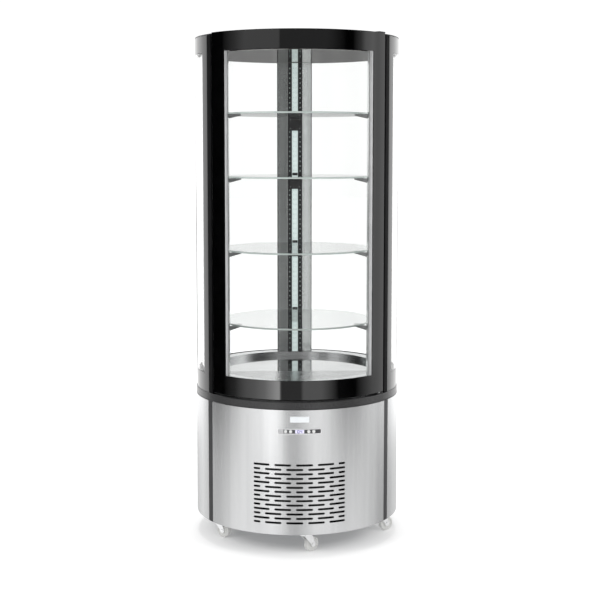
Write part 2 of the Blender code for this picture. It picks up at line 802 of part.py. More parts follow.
def build_castors():
    inner_y = 0.5 * WHEEL_WIDTH + WHEEL_SIDE_GAP
    outer_y = inner_y + CHEEK_THICKNESS
    bore = CASTOR_STEM_RADIUS + BORE_CLEARANCE
    across = math.sqrt(CASTOR_CAP_RADIUS**2 - outer_y**2)
    boss = AXLE_HEAD_RADIUS + CHEEK_EDGE
    side = [
        (-across, fork_cap_bottom + CHEEK_RISE),
        (across, fork_cap_bottom + CHEEK_RISE),
        (CASTOR_TRAIL + boss, WHEEL_RADIUS + 0.3 * boss),
        (CASTOR_TRAIL + 0.5 * boss, WHEEL_RADIUS - 0.9 * boss),
        (CASTOR_TRAIL - 0.5 * boss, WHEEL_RADIUS - 0.9 * boss),
        (CASTOR_TRAIL - 1.2 * boss, WHEEL_RADIUS + 0.3 * boss),
    ]

    def cheek(low_y, high_y):
        mesh = bmesh.new()
        face = mesh.faces.new([mesh.verts.new((x, low_y, z)) for x, z in side])
        grown = bmesh.ops.extrude_face_region(mesh, geom=[face])
        moved = [part for part in grown["geom"] if isinstance(part, bmesh.types.BMVert)]
        bmesh.ops.translate(mesh, vec=(0.0, high_y - low_y, 0.0), verts=moved)
        return keep(mesh, "cheek", None)

    fork_profile = [
        (bore, fork_cap_bottom), (CASTOR_CAP_RADIUS, fork_cap_bottom),
        (CASTOR_CAP_RADIUS, fork_cap_top), (bore, fork_cap_top),
    ]
    along_y = Vector((0.0, 1.0, 0.0))
    reach = outer_y + AXLE_HEAD_HEIGHT
    axle_y = Vector((CASTOR_TRAIL, -reach, WHEEL_RADIUS))
    head_length = AXLE_HEAD_HEIGHT + 0.5 * CHEEK_THICKNESS
    far_head = Vector((CASTOR_TRAIL, reach - head_length, WHEEL_RADIUS))
    fork = turned("castor_fork_1", zinc(), fork_profile, 16, ring=True)
    join(
        fork,
        [
            cheek(inner_y, outer_y),
            cheek(-outer_y, -inner_y),
            cylinder("axle", None, AXLE_RADIUS, axle_y, along_y, 2.0 * reach, 10),
            cylinder("near_head", None, AXLE_HEAD_RADIUS, axle_y, along_y, head_length, 10),
            cylinder("far_head", None, AXLE_HEAD_RADIUS, far_head, along_y, head_length, 10),
        ],
    )
    round_up = 1.0 / math.cos(math.pi / WHEEL_FACETS)
    tread = WHEEL_RADIUS * round_up
    wheel_bore = (AXLE_RADIUS + BORE_CLEARANCE) * round_up
    half = 0.5 * WHEEL_WIDTH
    wheel_profile = [(wheel_bore, -half), (tread, -half), (tread, half), (wheel_bore, half)]
    grey = coat("castor_grey", (0.72, 0.72, 0.70), 0.5)
    wheel = turned("castor_wheel_1", grey, wheel_profile, WHEEL_FACETS, ring=True, phase=0.5)
    turn_mesh(wheel, Matrix.Rotation(math.radians(90.0), 4, "X"))

    for number, (angle, heading) in enumerate(castor_places(), start=1):
        this_fork = fork
        this_wheel = wheel
        if number > 1:
            this_fork = bpy.data.objects.new(f"castor_fork_{number}", fork.data)
            this_wheel = bpy.data.objects.new(f"castor_wheel_{number}", wheel.data)
            bpy.context.collection.objects.link(this_fork)
            bpy.context.collection.objects.link(this_wheel)
        this_fork.location = polar(angle, castor_circle)
        this_fork.rotation_euler = (0.0, 0.0, math.radians(heading))
        this_wheel.parent = this_fork
        this_wheel.location = (CASTOR_TRAIL, 0.0, WHEEL_RADIUS)


# Deck: insulated rim, evaporator well and floor plates

def frame_outline(door_radius, side_radius, rib_radius):
    """Plan steps of the cabinet's frame: behind the door, behind the panes and at the three ribs."""
    steps = [(angle, door_radius) for angle in facet_angles(-seal_end, seal_end)]
    right = [(UPRIGHT_ANGLE - web_half, UPRIGHT_ANGLE + web_half, rib_radius)]
    right.append((UPRIGHT_ANGLE + web_half, back_angle - web_half, side_radius))
    right.append((back_angle - web_half, back_angle + web_half, rib_radius))
    right.append((back_angle + web_half, 360.0 - UPRIGHT_ANGLE - web_half, side_radius))
    right.append((360.0 - UPRIGHT_ANGLE - web_half, 360.0 - UPRIGHT_ANGLE + web_half, rib_radius))
    for start, end, radius in right:
        steps += [(angle, radius) for angle in facet_angles(start, end)]
    return steps


def build_deck():
    outline = frame_outline(seal_radius, shoulder_radius, web_radius)
    stepped_ring("deck_rim", polished_steel(), outline, rim_inner, cabinet_bottom, rim_top)
    segments = len(full_circle())
    lip = rim_inner - CLEARANCE
    turned(
        "evaporator_well", coat("liner", (0.55, 0.56, 0.57), 0.35, 0.8),
        [
            (0.0, well_bottom), (well_neck, well_bottom), (well_neck, cabinet_bottom),
            (lip, cabinet_bottom), (lip, well_top), (well_bore, well_top),
            (well_bore, well_floor), (0.0, well_floor),
        ],
        segments,
    )
    joint_rear = -FLOOR_JOINT + 0.5 * CLEARANCE
    joint_front = -FLOOR_JOINT - 0.5 * CLEARANCE
    rear_angle = math.degrees(math.acos(-joint_rear / lip))
    front_angle = math.degrees(math.acos(-joint_front / lip))
    extruded(
        "rear_floor_plate", polished_steel(), arc(rear_angle, 360.0 - rear_angle, lip), floor_bottom, floor_top
    )
    extruded(
        "front_floor_plate", brushed_steel(), arc(-front_angle, front_angle, lip), floor_bottom, floor_top
    )


# Uprights, rear column and cover strips

def build_uprights():
    """Extruded posts: a face for the gasket, a rib for the cover strip and a shoulder for the fixed pane."""
    outline = arc(seal_start, seal_end, seal_radius)
    outline += arc(UPRIGHT_ANGLE - web_half, UPRIGHT_ANGLE + web_half, web_radius)
    toe_angle = UPRIGHT_ANGLE + degrees_of(UPRIGHT_TOE, shoulder_radius)
    outline += arc(UPRIGHT_ANGLE + web_half, toe_angle, shoulder_radius)
    outline.append(local(UPRIGHT_ANGLE, UPRIGHT_TOE, upright_face))
    heel = seal_radius * math.sin(math.radians(seal_start - UPRIGHT_ANGLE))
    outline.append(local(UPRIGHT_ANGLE, heel + UPRIGHT_CHAMFER, upright_face))
    right = extruded("right_upright", anodised(), outline, post_bottom, post_top)
    mirrored(right, "left_upright")

    side = degrees_of(0.5 * COLUMN_WIDTH, shoulder_radius)
    column = arc(back_angle - side, back_angle - web_half, shoulder_radius)
    column += arc(back_angle - web_half, back_angle + web_half, web_radius)
    column += arc(back_angle + web_half, back_angle + side, shoulder_radius)
    half = 0.5 * COLUMN_WIDTH
    face = 0.5 * COLUMN_FACE_WIDTH
    column.append(local(back_angle, half, column_side))
    column.append(local(back_angle, face, column_face))
    column.append(local(back_angle, -face, column_face))
    column.append(local(back_angle, -half, column_side))
    extruded("rear_column", anodised(), column, post_bottom, post_top)


def build_covers():
    heights = [cabinet_bottom, cabinet_top]

    def strip(name, angle):
        return curved_sheet(
            name, black_satin(), cover_inner, glass_radius,
            facet_angles(angle - cover_half, angle + cover_half), heights,
        )

    mirrored(strip("right_upright_cover", UPRIGHT_ANGLE), "left_upright_cover")
    strip("rear_column_cover", back_angle)


# Glass

def build_fixed_panes():
    heights = [cabinet_bottom, cabinet_top]
    angles = facet_angles(pane_start, pane_end)
    outer = curved_sheet("right_outer_glass", clear_glass(), outer_pane_inner, glass_radius, angles, heights)
    inner = curved_sheet("right_inner_glass", clear_glass(), unit_inner, inner_pane_outer, angles, heights)
    mirrored(outer, "left_outer_glass")
    mirrored(inner, "left_inner_glass")


def window(width, end_height, half, bottom, top):
    """Breaks and opening of a rectangular frame bent round the case."""
    inner_half = half - width
    low, high = bottom + end_height, top - end_height

    def is_open(angle, height):
        return abs(angle) < inner_half and low < height < high

    return facet_angles(-half, half, (-inner_half, inner_half)), [bottom, low, high, top], is_open


def build_door():
    """Sealed curved unit with an edge frame, a gasket on its back and two pivots near its right edge."""
    pivot = polar(pivot_angle, frame_middle)
    axis = bpy.data.objects.new("door_axis", None)
    axis.location = pivot
    bpy.context.collection.objects.link(axis)
    heights = [door_bottom, door_top]
    angles = facet_angles(-door_half, door_half)
    outer = curved_sheet("door_outer_glass", black_glass(), outer_pane_inner, glass_radius, angles, heights)
    inner = curved_sheet("door_inner_glass", clear_glass(), unit_inner, inner_pane_outer, angles, heights)

    bar = degrees_of(EDGE_BAR, frame_middle)
    breaks, levels, is_open = window(bar, EDGE_BAR, door_half, door_bottom, door_top)
    frame = curved_sheet(
        "door_edge_frame", anodised(), inner_pane_outer + CLEARANCE, outer_pane_inner - CLEARANCE,
        breaks, levels, is_open=is_open,
    )
    hole = PIVOT_PIN_RADIUS + BORE_CLEARANCE
    depth = PIVOT_PIN_LENGTH + 2.0 * CLEARANCE
    up = Vector((0.0, 0.0, 1.0))
    cut(
        frame,
        [
            cylinder("low_bore", None, hole, pivot + up * (door_bottom - depth), up, 2.0 * depth),
            cylinder("high_bore", None, hole, pivot + up * (door_top - depth), up, 2.0 * depth),
        ],
    )

    gasket_half = door_half - degrees_of(GASKET_SIDE_INSET, unit_inner)
    breaks, levels, is_open = window(
        degrees_of(GASKET_WIDTH, unit_inner), GASKET_WIDTH, gasket_half,
        door_bottom + GASKET_END_INSET, door_top - GASKET_END_INSET,
    )
    gasket = curved_sheet(
        "door_gasket", coat("gasket_grey", (0.50, 0.50, 0.50), 0.6), seal_radius + CLEARANCE,
        unit_inner - CLEARANCE, breaks, levels, is_open=is_open,
    )
    for piece in (outer, inner, frame, gasket):
        hang_on(piece, axis)


def build_hinges():
    """Pivot plates: the lower one lies on the ring, the upper one on the lid."""
    pivot = polar(pivot_angle, frame_middle)
    up = Vector((0.0, 0.0, 1.0))
    half = 0.5 * degrees_of(HINGE_PLATE_LENGTH, frame_middle)
    angles = facet_angles(pivot_angle - half, pivot_angle + half)
    outer = frame_middle + HINGE_PLATE_OVERHANG
    low = cabinet_bottom
    plate = curved_sheet(
        "lower_hinge", black_satin(), frame_middle - HINGE_PLATE_OVERHANG, outer, angles,
        [low, low + HINGE_PLATE_THICKNESS],
    )
    middle = low + 0.5 * HINGE_PLATE_THICKNESS
    collar_top = door_bottom - CLEARANCE
    join(
        plate,
        [
            cylinder("collar", None, PIVOT_COLLAR_RADIUS, pivot + up * middle, up, collar_top - middle),
            cylinder("pin", None, PIVOT_PIN_RADIUS, pivot + up * middle, up, door_bottom + PIVOT_PIN_LENGTH - middle),
        ],
    )
    high = door_top + CLEARANCE
    foot_outer = unit_inner - LID_DOOR_CLEARANCE - HINGE_FOOT_GAP
    foot_inner = foot_outer - HINGE_FOOT_DEPTH
    plate = curved_sheet(
        "upper_hinge", black_satin(), foot_inner, outer, angles, [high, high + HINGE_PLATE_THICKNESS]
    )
    foot_half = half - degrees_of(HINGE_FOOT_GAP, frame_middle)
    foot = curved_sheet(
        "foot", None, foot_inner + HINGE_FOOT_GAP, foot_outer,
        facet_angles(pivot_angle - foot_half, pivot_angle + foot_half),
        [lid_top + CLEARANCE, high + 0.5 * HINGE_PLATE_THICKNESS],
    )
    pin_low = door_top - PIVOT_PIN_LENGTH
    pin = cylinder(
        "pin", None, PIVOT_PIN_RADIUS, pivot + up * pin_low, up, high + 0.5 * HINGE_PLATE_THICKNESS - pin_low
    )
    join(plate, [foot, pin])


# Top

def build_top():
    outline = [on_flat(*step) for step in frame_outline(seal_radius, shoulder_radius, web_radius)]
    extruded("ceiling_panel", polished_steel(), outline, ceiling_bottom, ceiling_top)
    lid_front = unit_inner - LID_DOOR_CLEARANCE
    edge = UPRIGHT_ANGLE - cover_half
    lid = arc(-edge, edge, lid_front) + arc(edge, 360.0 - edge, glass_radius)
    extruded("top_lid", black_satin(), lid, lid_bottom, lid_top)


# Shelves, rails and brackets

def shelf_seats():
    """Height of the brackets' top at each shelf."""
    return [rim_top + RAIL_FIRST_SLOT + slot * RAIL_SLOT_PITCH for slot in SHELF_SLOTS]


def build_shelves():
    for number, seat in enumerate(reversed(shelf_seats()), start=1):
        low = seat + CLEARANCE
        high = low + SHELF_THICKNESS
        profile = [(0.0, low), (shelf_radius, low), (shelf_radius, high), (0.0, high)]
        turned(f"shelf_{number}", clear_glass(), profile, SHELF_FACETS)


def bracket_arm(angle, seat, root):
    """A wedge arm that narrows towards the middle of the case."""
    side = [
        (root, seat), (arm_reach, seat), (arm_reach, seat - ARM_TIP_HEIGHT),
        (root, seat - ARM_ROOT_HEIGHT),
    ]
    mesh = bmesh.new()
    half = 0.5 * ARM_WIDTH
    face = mesh.faces.new([mesh.verts.new(local(angle, -half, out, height)) for out, height in side])
    grown = bmesh.ops.extrude_face_region(mesh, geom=[face])
    moved = [part for part in grown["geom"] if isinstance(part, bmesh.types.BMVert)]
    shift = local(angle, half, 0.0) - local(angle, -half, 0.0)
    bmesh.ops.translate(mesh, vec=shift, verts=moved)
    return keep(mesh, "arm", None)


def build_shelf_supports():
    """Slotted rails with a bracket arm hooked in under each shelf."""
    grey = coat("bracket_grey", (0.20, 0.20, 0.21), 0.4, 0.6)
    black = coat("bracket_black", (0.03, 0.03, 0.035), 0.4, 0.3)
    rail_outer = upright_face - CLEARANCE
    rail_inner = rail_outer - RAIL_THICKNESS
    half = 0.5 * RAIL_WIDTH
    heights = (post_bottom, post_top)
    rail = radial_block("right_shelf_support", grey, UPRIGHT_ANGLE, (-half, half), (rail_inner, rail_outer), heights)
    root = 0.5 * (rail_inner + rail_outer)
    join(rail, [bracket_arm(UPRIGHT_ANGLE, seat, root) for seat in shelf_seats()])
    mirrored(rail, "left_shelf_support")

    column_outer = column_face - CLEARANCE
    face = rear_rail_face
    near = 0.5 * LIGHT_WIDTH + LIGHT_SIDE_GAP
    far = near + REAR_RAIL_WIDTH
    support = radial_block("rear_shelf_support", black, back_angle, (near, far), (face, column_outer), heights)
    tools = [radial_block("rail", None, back_angle, (-far, -near), (face, column_outer), heights)]
    block = 0.5 * REAR_BLOCK_WIDTH
    tab = 0.5 * REAR_TAB_WIDTH
    block_face = rear_block_face
    for seat in shelf_seats():
        tools += [
            radial_block(
                "block", None, back_angle, (-block, block), (block_face, face + ROOT),
                (seat - REAR_BLOCK_HEIGHT, seat),
            ),
            radial_block(
                "tab", None, back_angle, (-tab, tab), (block_face + ROOT, face),
                (seat - ROOT, seat + REAR_TAB_HEIGHT),
            ),
            radial_block(
                "tongue", None, back_angle, (-block + ROOT, block - ROOT),
                (block_face - REAR_TONGUE_LENGTH, block_face + ROOT), (seat - REAR_TONGUE_HEIGHT, seat - ROOT),
            ),
        ]
    join(support, tools)


def build_light():
    half = 0.5 * LIGHT_WIDTH
    out = column_face - CLEARANCE
    radial_block(
        "rear_light_strip", coat("light_cover", (0.80, 0.88, 0.86), 0.4), back_angle, (-half, half),
        (out - LIGHT_THICKNESS, out), (post_bottom, post_top),
    )


# Cooling machinery

def comb(name, material, width, front, depth, bottom, top):
    """A finned block: thin fins side by side on a solid back."""
    back = front + depth
    start = -0.5 * width
    spaces = max(1, round((width - FIN_THICKNESS) / FIN_PITCH))
    fins = spaces + 1
    pitch = (width - FIN_THICKNESS) / spaces
    outline = [Vector((0.5 * width, back, 0.0)), Vector((start, back, 0.0))]
    for number in range(fins):
        left = start + number * pitch
        right = left + FIN_THICKNESS
        if number > 0:
            outline.append(Vector((left, back - FIN_BACK, 0.0)))
        outline.append(Vector((left, front, 0.0)))
        outline.append(Vector((right, front, 0.0)))
        if number < fins - 1:
            outline.append(Vector((right, back - FIN_BACK, 0.0)))
    return extruded(name, material, outline, bottom, top)


def fan(name, material, radius):
    """Hub about +Z with tilted blades, and a blind bore for the shaft from below."""
    hub = turned(
        name, material, [(0.0, 0.0), (HUB_RADIUS, 0.0), (HUB_RADIUS, HUB_LENGTH), (0.0, HUB_LENGTH)], 15
    )
    blades = []
    for number in range(FAN_BLADES):
        blade = box(
            "blade", None,
            (0.8 * HUB_RADIUS, -0.5 * FAN_CHORD, -0.5 * FAN_BLADE_THICKNESS),
            (radius, 0.5 * FAN_CHORD, 0.5 * FAN_BLADE_THICKNESS),
        )
        tilt = Matrix.Rotation(math.radians(FAN_TILT), 4, "X")
        spread = Matrix.Rotation(math.tau * number / FAN_BLADES, 4, "Z")
        blades.append(turn_mesh(blade, Matrix.Translation((0.0, 0.0, 0.5 * HUB_LENGTH)) @ spread @ tilt))
    join(hub, blades)
    up = Vector((0.0, 0.0, 1.0))
    bore = cylinder(
        "bore", None, SHAFT_RADIUS + BORE_CLEARANCE, -up * shaft_in_hub, up, 2.0 * shaft_in_hub + CLEARANCE, 12
    )
    return cut(hub, [bore])


def build_condenser_side():
    """Finned condenser behind the louvres, and a fan that draws through it."""
    bottom = plate_top + CLEARANCE
    top = bottom + CONDENSER_HEIGHT
    comb(
        "condenser", coat("fins", (0.55, 0.56, 0.57), 0.4, 1.0), CONDENSER_WIDTH,
        condenser_front, CONDENSER_DEPTH, bottom, top,
    )
    shroud_front = condenser_front + CONDENSER_DEPTH + CLEARANCE
    shroud_back = shroud_front + SHROUD_THICKNESS
    middle = 0.5 * (bottom + top)
    half = 0.5 * CONDENSER_WIDTH
    along = Vector((0.0, 1.0, 0.0))
    shroud = box("condenser_fan_motor", zinc(), (-half, shroud_front, bottom), (half, shroud_back, top))
    hole = cylinder(
        "hole", None, shroud_hole, Vector((0.0, shroud_front - SHROUD_THICKNESS, middle)), along,
        3.0 * SHROUD_THICKNESS, 20,
    )
    cut(shroud, [hole])
    hub_front = shroud_back + CONDENSER_FAN_SETBACK
    hub_back = hub_front + HUB_LENGTH
    strap_front = hub_back + MOTOR_GAP
    strap_back = strap_front + STRAP_THICKNESS
    middle_of_shroud = 0.5 * (shroud_front + shroud_back)
    low, high = middle - 0.5 * STRAP_WIDTH, middle + 0.5 * STRAP_WIDTH
    span = strap_reach
    tools = [
        box("strap", None, (-span, strap_front, low), (span, strap_back, high)),
        box("left_leg", None, (-span, middle_of_shroud, low), (STRAP_THICKNESS - span, strap_front + ROOT, high)),
        box("right_leg", None, (span - STRAP_THICKNESS, middle_of_shroud, low), (span, strap_front + ROOT, high)),
        cylinder(
            "motor", None, MOTOR_RADIUS, Vector((0.0, strap_front + ROOT, middle)), along, MOTOR_LENGTH, 16
        ),
        cylinder(
            "shaft", None, SHAFT_RADIUS, Vector((0.0, hub_back - shaft_in_hub, middle)), along,
            shaft_in_hub + MOTOR_GAP + 0.5 * STRAP_THICKNESS, 10,
        ),
    ]
    join(shroud, tools)
    blades = fan("condenser_fan", coat("fan_black", (0.05, 0.05, 0.05), 0.5), condenser_fan_radius)
    turn_mesh(blades, Matrix.Rotation(math.radians(90.0), 4, "X"))
    blades.location = (0.0, hub_back, middle)


def build_compressor():
    bottom = plate_top + CLEARANCE
    top = bottom + COMPRESSOR_HEIGHT
    shell = COMPRESSOR_RADIUS
    foot = COMPRESSOR_RADIUS + COMPRESSOR_FLANGE
    profile = [
        (0.0, bottom), (foot, bottom), (foot, bottom + COMPRESSOR_FOOT_HEIGHT),
        (shell, bottom + COMPRESSOR_FOOT_HEIGHT + COMPRESSOR_FILLET), (shell, top - 0.5 * shell), (0.8 * shell, top - 0.15 * shell),
        (0.4 * shell, top), (0.0, top),
    ]
    made = turned("compressor", coat("compressor_black", (0.02, 0.02, 0.02), 0.35), profile, 18)
    made.location = (COMPRESSOR_PLACE[0], COMPRESSOR_PLACE[1], 0.0)


def build_evaporator_side():
    """Finned evaporator in the well, and a fan that lifts cold air under the floor."""
    bottom = well_floor + CLEARANCE
    comb(
        "evaporator", coat("fins", (0.55, 0.56, 0.57), 0.4, 1.0), EVAPORATOR_WIDTH,
        EVAPORATOR_FRONT, EVAPORATOR_DEPTH, bottom, bottom + EVAPORATOR_HEIGHT,
    )
    motor_top = bottom + EVAPORATOR_MOTOR_HEIGHT
    hub_bottom = motor_top + MOTOR_GAP
    shaft_top = hub_bottom + shaft_in_hub
    motor = turned(
        "evaporator_fan_motor", zinc(),
        [
            (0.0, bottom), (EVAPORATOR_MOTOR_RADIUS, bottom), (EVAPORATOR_MOTOR_RADIUS, motor_top),
            (SHAFT_RADIUS, motor_top), (SHAFT_RADIUS, shaft_top), (0.0, shaft_top),
        ],
        15,
    )
    motor.location = (0.0, -EVAPORATOR_FAN_SETBACK, 0.0)
    blades = fan("evaporator_fan", coat("fan_black", (0.05, 0.05, 0.05), 0.5), EVAPORATOR_FAN_RADIUS)
    blades.location = (0.0, -EVAPORATOR_FAN_SETBACK, hub_bottom)


def build():
    for old in list(bpy.context.scene.objects):
        bpy.data.objects.remove(old)
    build_front_panel()
    build_side_panels()
    build_trims()
    build_chassis()
    build_ring()
    build_controls()
    build_castors()
    build_deck()
    build_uprights()
    build_covers()
    build_fixed_panes()
    build_door()
    build_hinges()
    build_top()
    build_shelves()
    build_shelf_supports()
    build_light()
    build_condenser_side()
    build_compressor()
    build_evaporator_side()


build()
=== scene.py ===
import math

import bmesh
import bpy
from mathutils import Matrix, Vector


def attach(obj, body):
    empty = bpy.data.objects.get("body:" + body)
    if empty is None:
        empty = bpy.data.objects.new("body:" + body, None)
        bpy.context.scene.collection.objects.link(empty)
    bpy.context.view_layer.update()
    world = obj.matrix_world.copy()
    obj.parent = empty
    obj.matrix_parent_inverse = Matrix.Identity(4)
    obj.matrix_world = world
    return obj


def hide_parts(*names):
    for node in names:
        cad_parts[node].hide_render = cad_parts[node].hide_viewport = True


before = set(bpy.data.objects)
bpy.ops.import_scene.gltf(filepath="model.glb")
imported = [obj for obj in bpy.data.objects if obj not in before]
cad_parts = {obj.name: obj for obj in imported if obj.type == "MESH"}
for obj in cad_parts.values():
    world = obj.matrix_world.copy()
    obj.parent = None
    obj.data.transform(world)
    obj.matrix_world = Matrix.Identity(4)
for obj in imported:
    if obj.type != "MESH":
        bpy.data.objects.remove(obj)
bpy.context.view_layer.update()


# Chassis plate with three posts for the ring and five pads for the castors.
# Zinc-plated steel, folded and welded. It keeps its drawn shape and gets its plated finish here.


def wire(tree, kind, sockets, output=0, **settings):
    """Adds a node. Each of its named sockets gets a value or what comes out of another node."""
    made = tree.nodes.new("ShaderNode" + kind)
    for word, value in settings.items():
        setattr(made, word, value)
    for place, value in sockets.items():
        if isinstance(value, bpy.types.NodeSocket):
            tree.links.new(value, made.inputs[place])
        else:
            made.inputs[place].default_value = value
    return made.outputs[output]


def ramped(tree, source, stops):
    """Colours that follow a value, each at its place between 0 and 1."""
    made = tree.nodes.new("ShaderNodeValToRGB")
    marks = made.color_ramp.elements
    while len(marks) < len(stops):
        marks.new(0.5)
    for mark, (place, colour) in zip(marks, stops):
        mark.position, mark.color = place, (*colour, 1.0)
    tree.links.new(source, made.inputs["Fac"])
    return made.outputs["Color"]


def mottle(tree, pattern):
    """A cloudy pattern fixed to the piece. It has one scale, or a scale along each axis, small where it is
    drawn out, and then the fineness of its detail."""
    even = not isinstance(pattern, tuple)
    place = wire(tree, "TexCoord", {}, "Object")
    drawn = wire(tree, "Mapping", {"Vector": place, "Scale": (1.0, 1.0, 1.0) if even else pattern[:3]})
    scale, detail = (pattern, 3.0) if even else (1.0, pattern[3])
    return wire(tree, "TexNoise", {"Vector": drawn, "Scale": scale, "Detail": detail}, "Fac")


def finish(name, cloud, dark, light, grain=None, rough=None, relief=None, **values):
    """A material whose colour drifts between two by a cloudy pattern. Its roughness spans two values by the
    pattern of its grain, or by that same pattern. Its relief has a depth, a strength and at times its own
    pattern."""
    made = bpy.data.materials.new(name)
    made.use_nodes = True
    tree = made.node_tree
    shader = tree.nodes["Principled BSDF"].inputs
    for word, value in values.items():
        shader[word.replace("_", " ")].default_value = value
    pattern = mottle(tree, cloud)
    tree.links.new(ramped(tree, pattern, ((0.35, dark), (0.65, light))), shader["Base Color"])
    if grain:
        pattern = mottle(tree, grain)
    if rough:
        span = {"Value": pattern, "From Min": 0.3, "From Max": 0.7, "To Min": rough[0], "To Max": rough[1]}
        tree.links.new(wire(tree, "MapRange", span), shader["Roughness"])
    if relief:
        pattern = mottle(tree, relief[2]) if len(relief) > 2 else pattern
        bump = {"Height": pattern, "Distance": relief[0], "Strength": relief[1]}
        tree.links.new(wire(tree, "Bump", bump), shader["Normal"])
    return made


def coat(made, *nodes):
    """Drawn pieces keep their shape and take a finish."""
    for node in nodes:
        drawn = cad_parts[node]
        if not drawn.material_slots:
            drawn.data.materials.append(made)
        for place in drawn.material_slots:
            place.material = made


zinc = finish(
    "zinc_plate", (90.0, 90.0, 90.0, 5.0), (0.5, 0.51, 0.52), (0.68, 0.69, 0.7), rough=(0.26, 0.42),
    Metallic=1.0,
)
coat(zinc, "chassis")


# Five swivel castors on stems under the chassis.
# Forks pressed from steel sheet and bright plated, each with a bearing cap, two cheeks and a bolted axle.

castor_spacing = 72.0
castor_first = 4.0
castor_circle = 0.295
castor_headings = (38.0, 28.0, 100.0, 205.0, -35.0)
castor_trail = 0.025
axle_height = 0.025
cap_section = [
    (0.0053, 0.0589), (0.0188, 0.0589), (0.0204, 0.0597), (0.0212, 0.0612), (0.0212, 0.064),
    (0.0205, 0.0646), (0.0205, 0.0652), (0.0212, 0.0658), (0.0208, 0.0686), (0.019, 0.07),
    (0.015, 0.0709), (0.0053, 0.0709),
]
cheek_inside = 0.01
cheek_outside = 0.0125
cheek_shoulders = [(-0.0165, 0.0625), (0.0165, 0.0625)]
boss_radius = 0.0086
nut_radius, nut_seat, nut_height = 0.0064, 0.012, 0.0016
bolt_section = [
    (0.0, -0.014), (0.0034, -0.014), (0.0056, -0.0134), (0.0064, -0.0124), (0.0064, -0.0121),
    (0.0039, -0.0121), (0.0039, 0.0132), (0.0034, 0.0139), (0.0, 0.0139),
]


def polar(angle, radius, height=0.0):
    """A point at a plan angle from the front, a radius and a height."""
    turn = math.radians(angle)
    return Vector((radius * math.sin(turn), -radius * math.cos(turn), height))


def round_point(radius, angle):
    """A point of a circle."""
    return radius * math.cos(math.radians(angle)), radius * math.sin(math.radians(angle))


def unselect():
    """Leaves edit mode and unselects every piece, the drawn ones too."""
    if bpy.context.mode != "OBJECT":
        bpy.ops.object.mode_set(mode="OBJECT")
    bpy.ops.object.select_all(action="DESELECT")


def alone(made, edit=False):
    """Leaves the other pieces unselected and this one ready to work on."""
    unselect()
    made.select_set(True)
    bpy.context.view_layer.objects.active = made
    if edit:
        bpy.ops.object.mode_set(mode="EDIT")


def named(made, name):
    made.name = name
    made.data.name = name
    return made


def trace(name, corners, closed=True):
    """Draws an outline corner by corner, a point extruded along it. A closed one is filled with a face."""
    corners = [Vector(corner) for corner in corners]
    unselect()
    bpy.ops.mesh.primitive_plane_add(size=0.001, location=corners[0])
    made = named(bpy.context.object, name)
    bpy.ops.object.mode_set(mode="EDIT")
    bpy.ops.mesh.select_all(action="SELECT")
    bpy.ops.mesh.merge(type="CENTER")
    for here, there in zip(corners, corners[1:]):
        bpy.ops.mesh.extrude_region_move(TRANSFORM_OT_translate={"value": there - here})
    bpy.ops.mesh.select_all(action="SELECT")
    if closed:
        bpy.ops.mesh.edge_face_add()
    return made


def close_up(made):
    """Merges doubled corners, points the faces outwards and sets the piece's origin at the case's."""
    bpy.ops.mesh.select_all(action="SELECT")
    bpy.ops.mesh.remove_doubles(threshold=0.000002)
    bpy.ops.mesh.normals_make_consistent(inside=False)
    alone(made)
    bpy.ops.object.transform_apply(location=True, rotation=True, scale=True)
    return made


def spun(steps, angle):
    bpy.ops.mesh.spin(steps=steps, angle=angle, center=(0.0, 0.0, 0.0), axis=(0.0, 0.0, 1.0))


def turned(name, section, steps=96):
    """A section of radii and heights, spun right round the case's axis. One that starts and ends on the
    axis stays open along it, and its two poles are merged."""
    on_axis = section[0][0] == 0.0 and section[-1][0] == 0.0
    made = trace(name, [polar(0.0, radius, height) for radius, height in section], not on_axis)
    if not on_axis:
        bpy.ops.mesh.delete(type="ONLY_FACE")
    bpy.ops.mesh.select_all(action="SELECT")
    spun(steps, math.tau)
    return close_up(made)


def swept(name, section, start, end, step=1.5):
    """A closed section of radii and heights, spun from one plan angle to another."""
    made = trace(name, [polar(start, radius, height) for radius, height in section])
    spun(max(1, round((end - start) / step)), math.radians(start - end))
    return close_up(made)


def raised(name, outline, rise):
    """A face drawn by its corners and drawn out along a straight line."""
    made = trace(name, outline)
    bpy.ops.mesh.extrude_region_move(TRANSFORM_OT_translate={"value": Vector(rise)})
    return close_up(made)


def apply_all(made):
    alone(made)
    for step in list(made.modifiers):
        bpy.ops.object.modifier_apply(modifier=step.name)
    return made


def soften(made, width, segments=2):
    """Rounds the hard edges and keeps the broad faces flat to the light."""
    alone(made)
    bpy.ops.object.shade_smooth()
    edge = made.modifiers.new("rounded_edges", "BEVEL")
    edge.width = width
    edge.segments = segments
    edge.limit_method = "ANGLE"
    edge.angle_limit = math.radians(35.0)
    edge.harden_normals = True
    return apply_all(made)


def smooth(made, limit=35.0):
    alone(made)
    bpy.ops.object.shade_smooth_by_angle(angle=math.radians(limit))
    return made


def weld(made, *others):
    """Joins pieces that are made as one."""
    alone(made)
    for other in others:
        other.select_set(True)
    if others:
        bpy.ops.object.join()
    return made


def copied(made, name, place):
    """A copy with its own mesh, moved in the mesh."""
    twin = made.copy()
    twin.data = made.data.copy()
    bpy.context.collection.objects.link(twin)
    twin.data.transform(place)
    return named(twin, name)


def fit(made, coating, *nodes, body="cabinet", slot=None):
    """Gives a piece its finish, sets it on its body and lets it stand for the drawn pieces."""
    if len(made.data.materials) == 0:
        made.data.materials.append(coating)
    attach(made, body)
    if nodes:
        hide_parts(*nodes)


bright_plate = finish(
    "bright_plating", 140.0, (0.84, 0.845, 0.85), (0.92, 0.925, 0.93), rough=(0.16, 0.28), Metallic=1.0
)


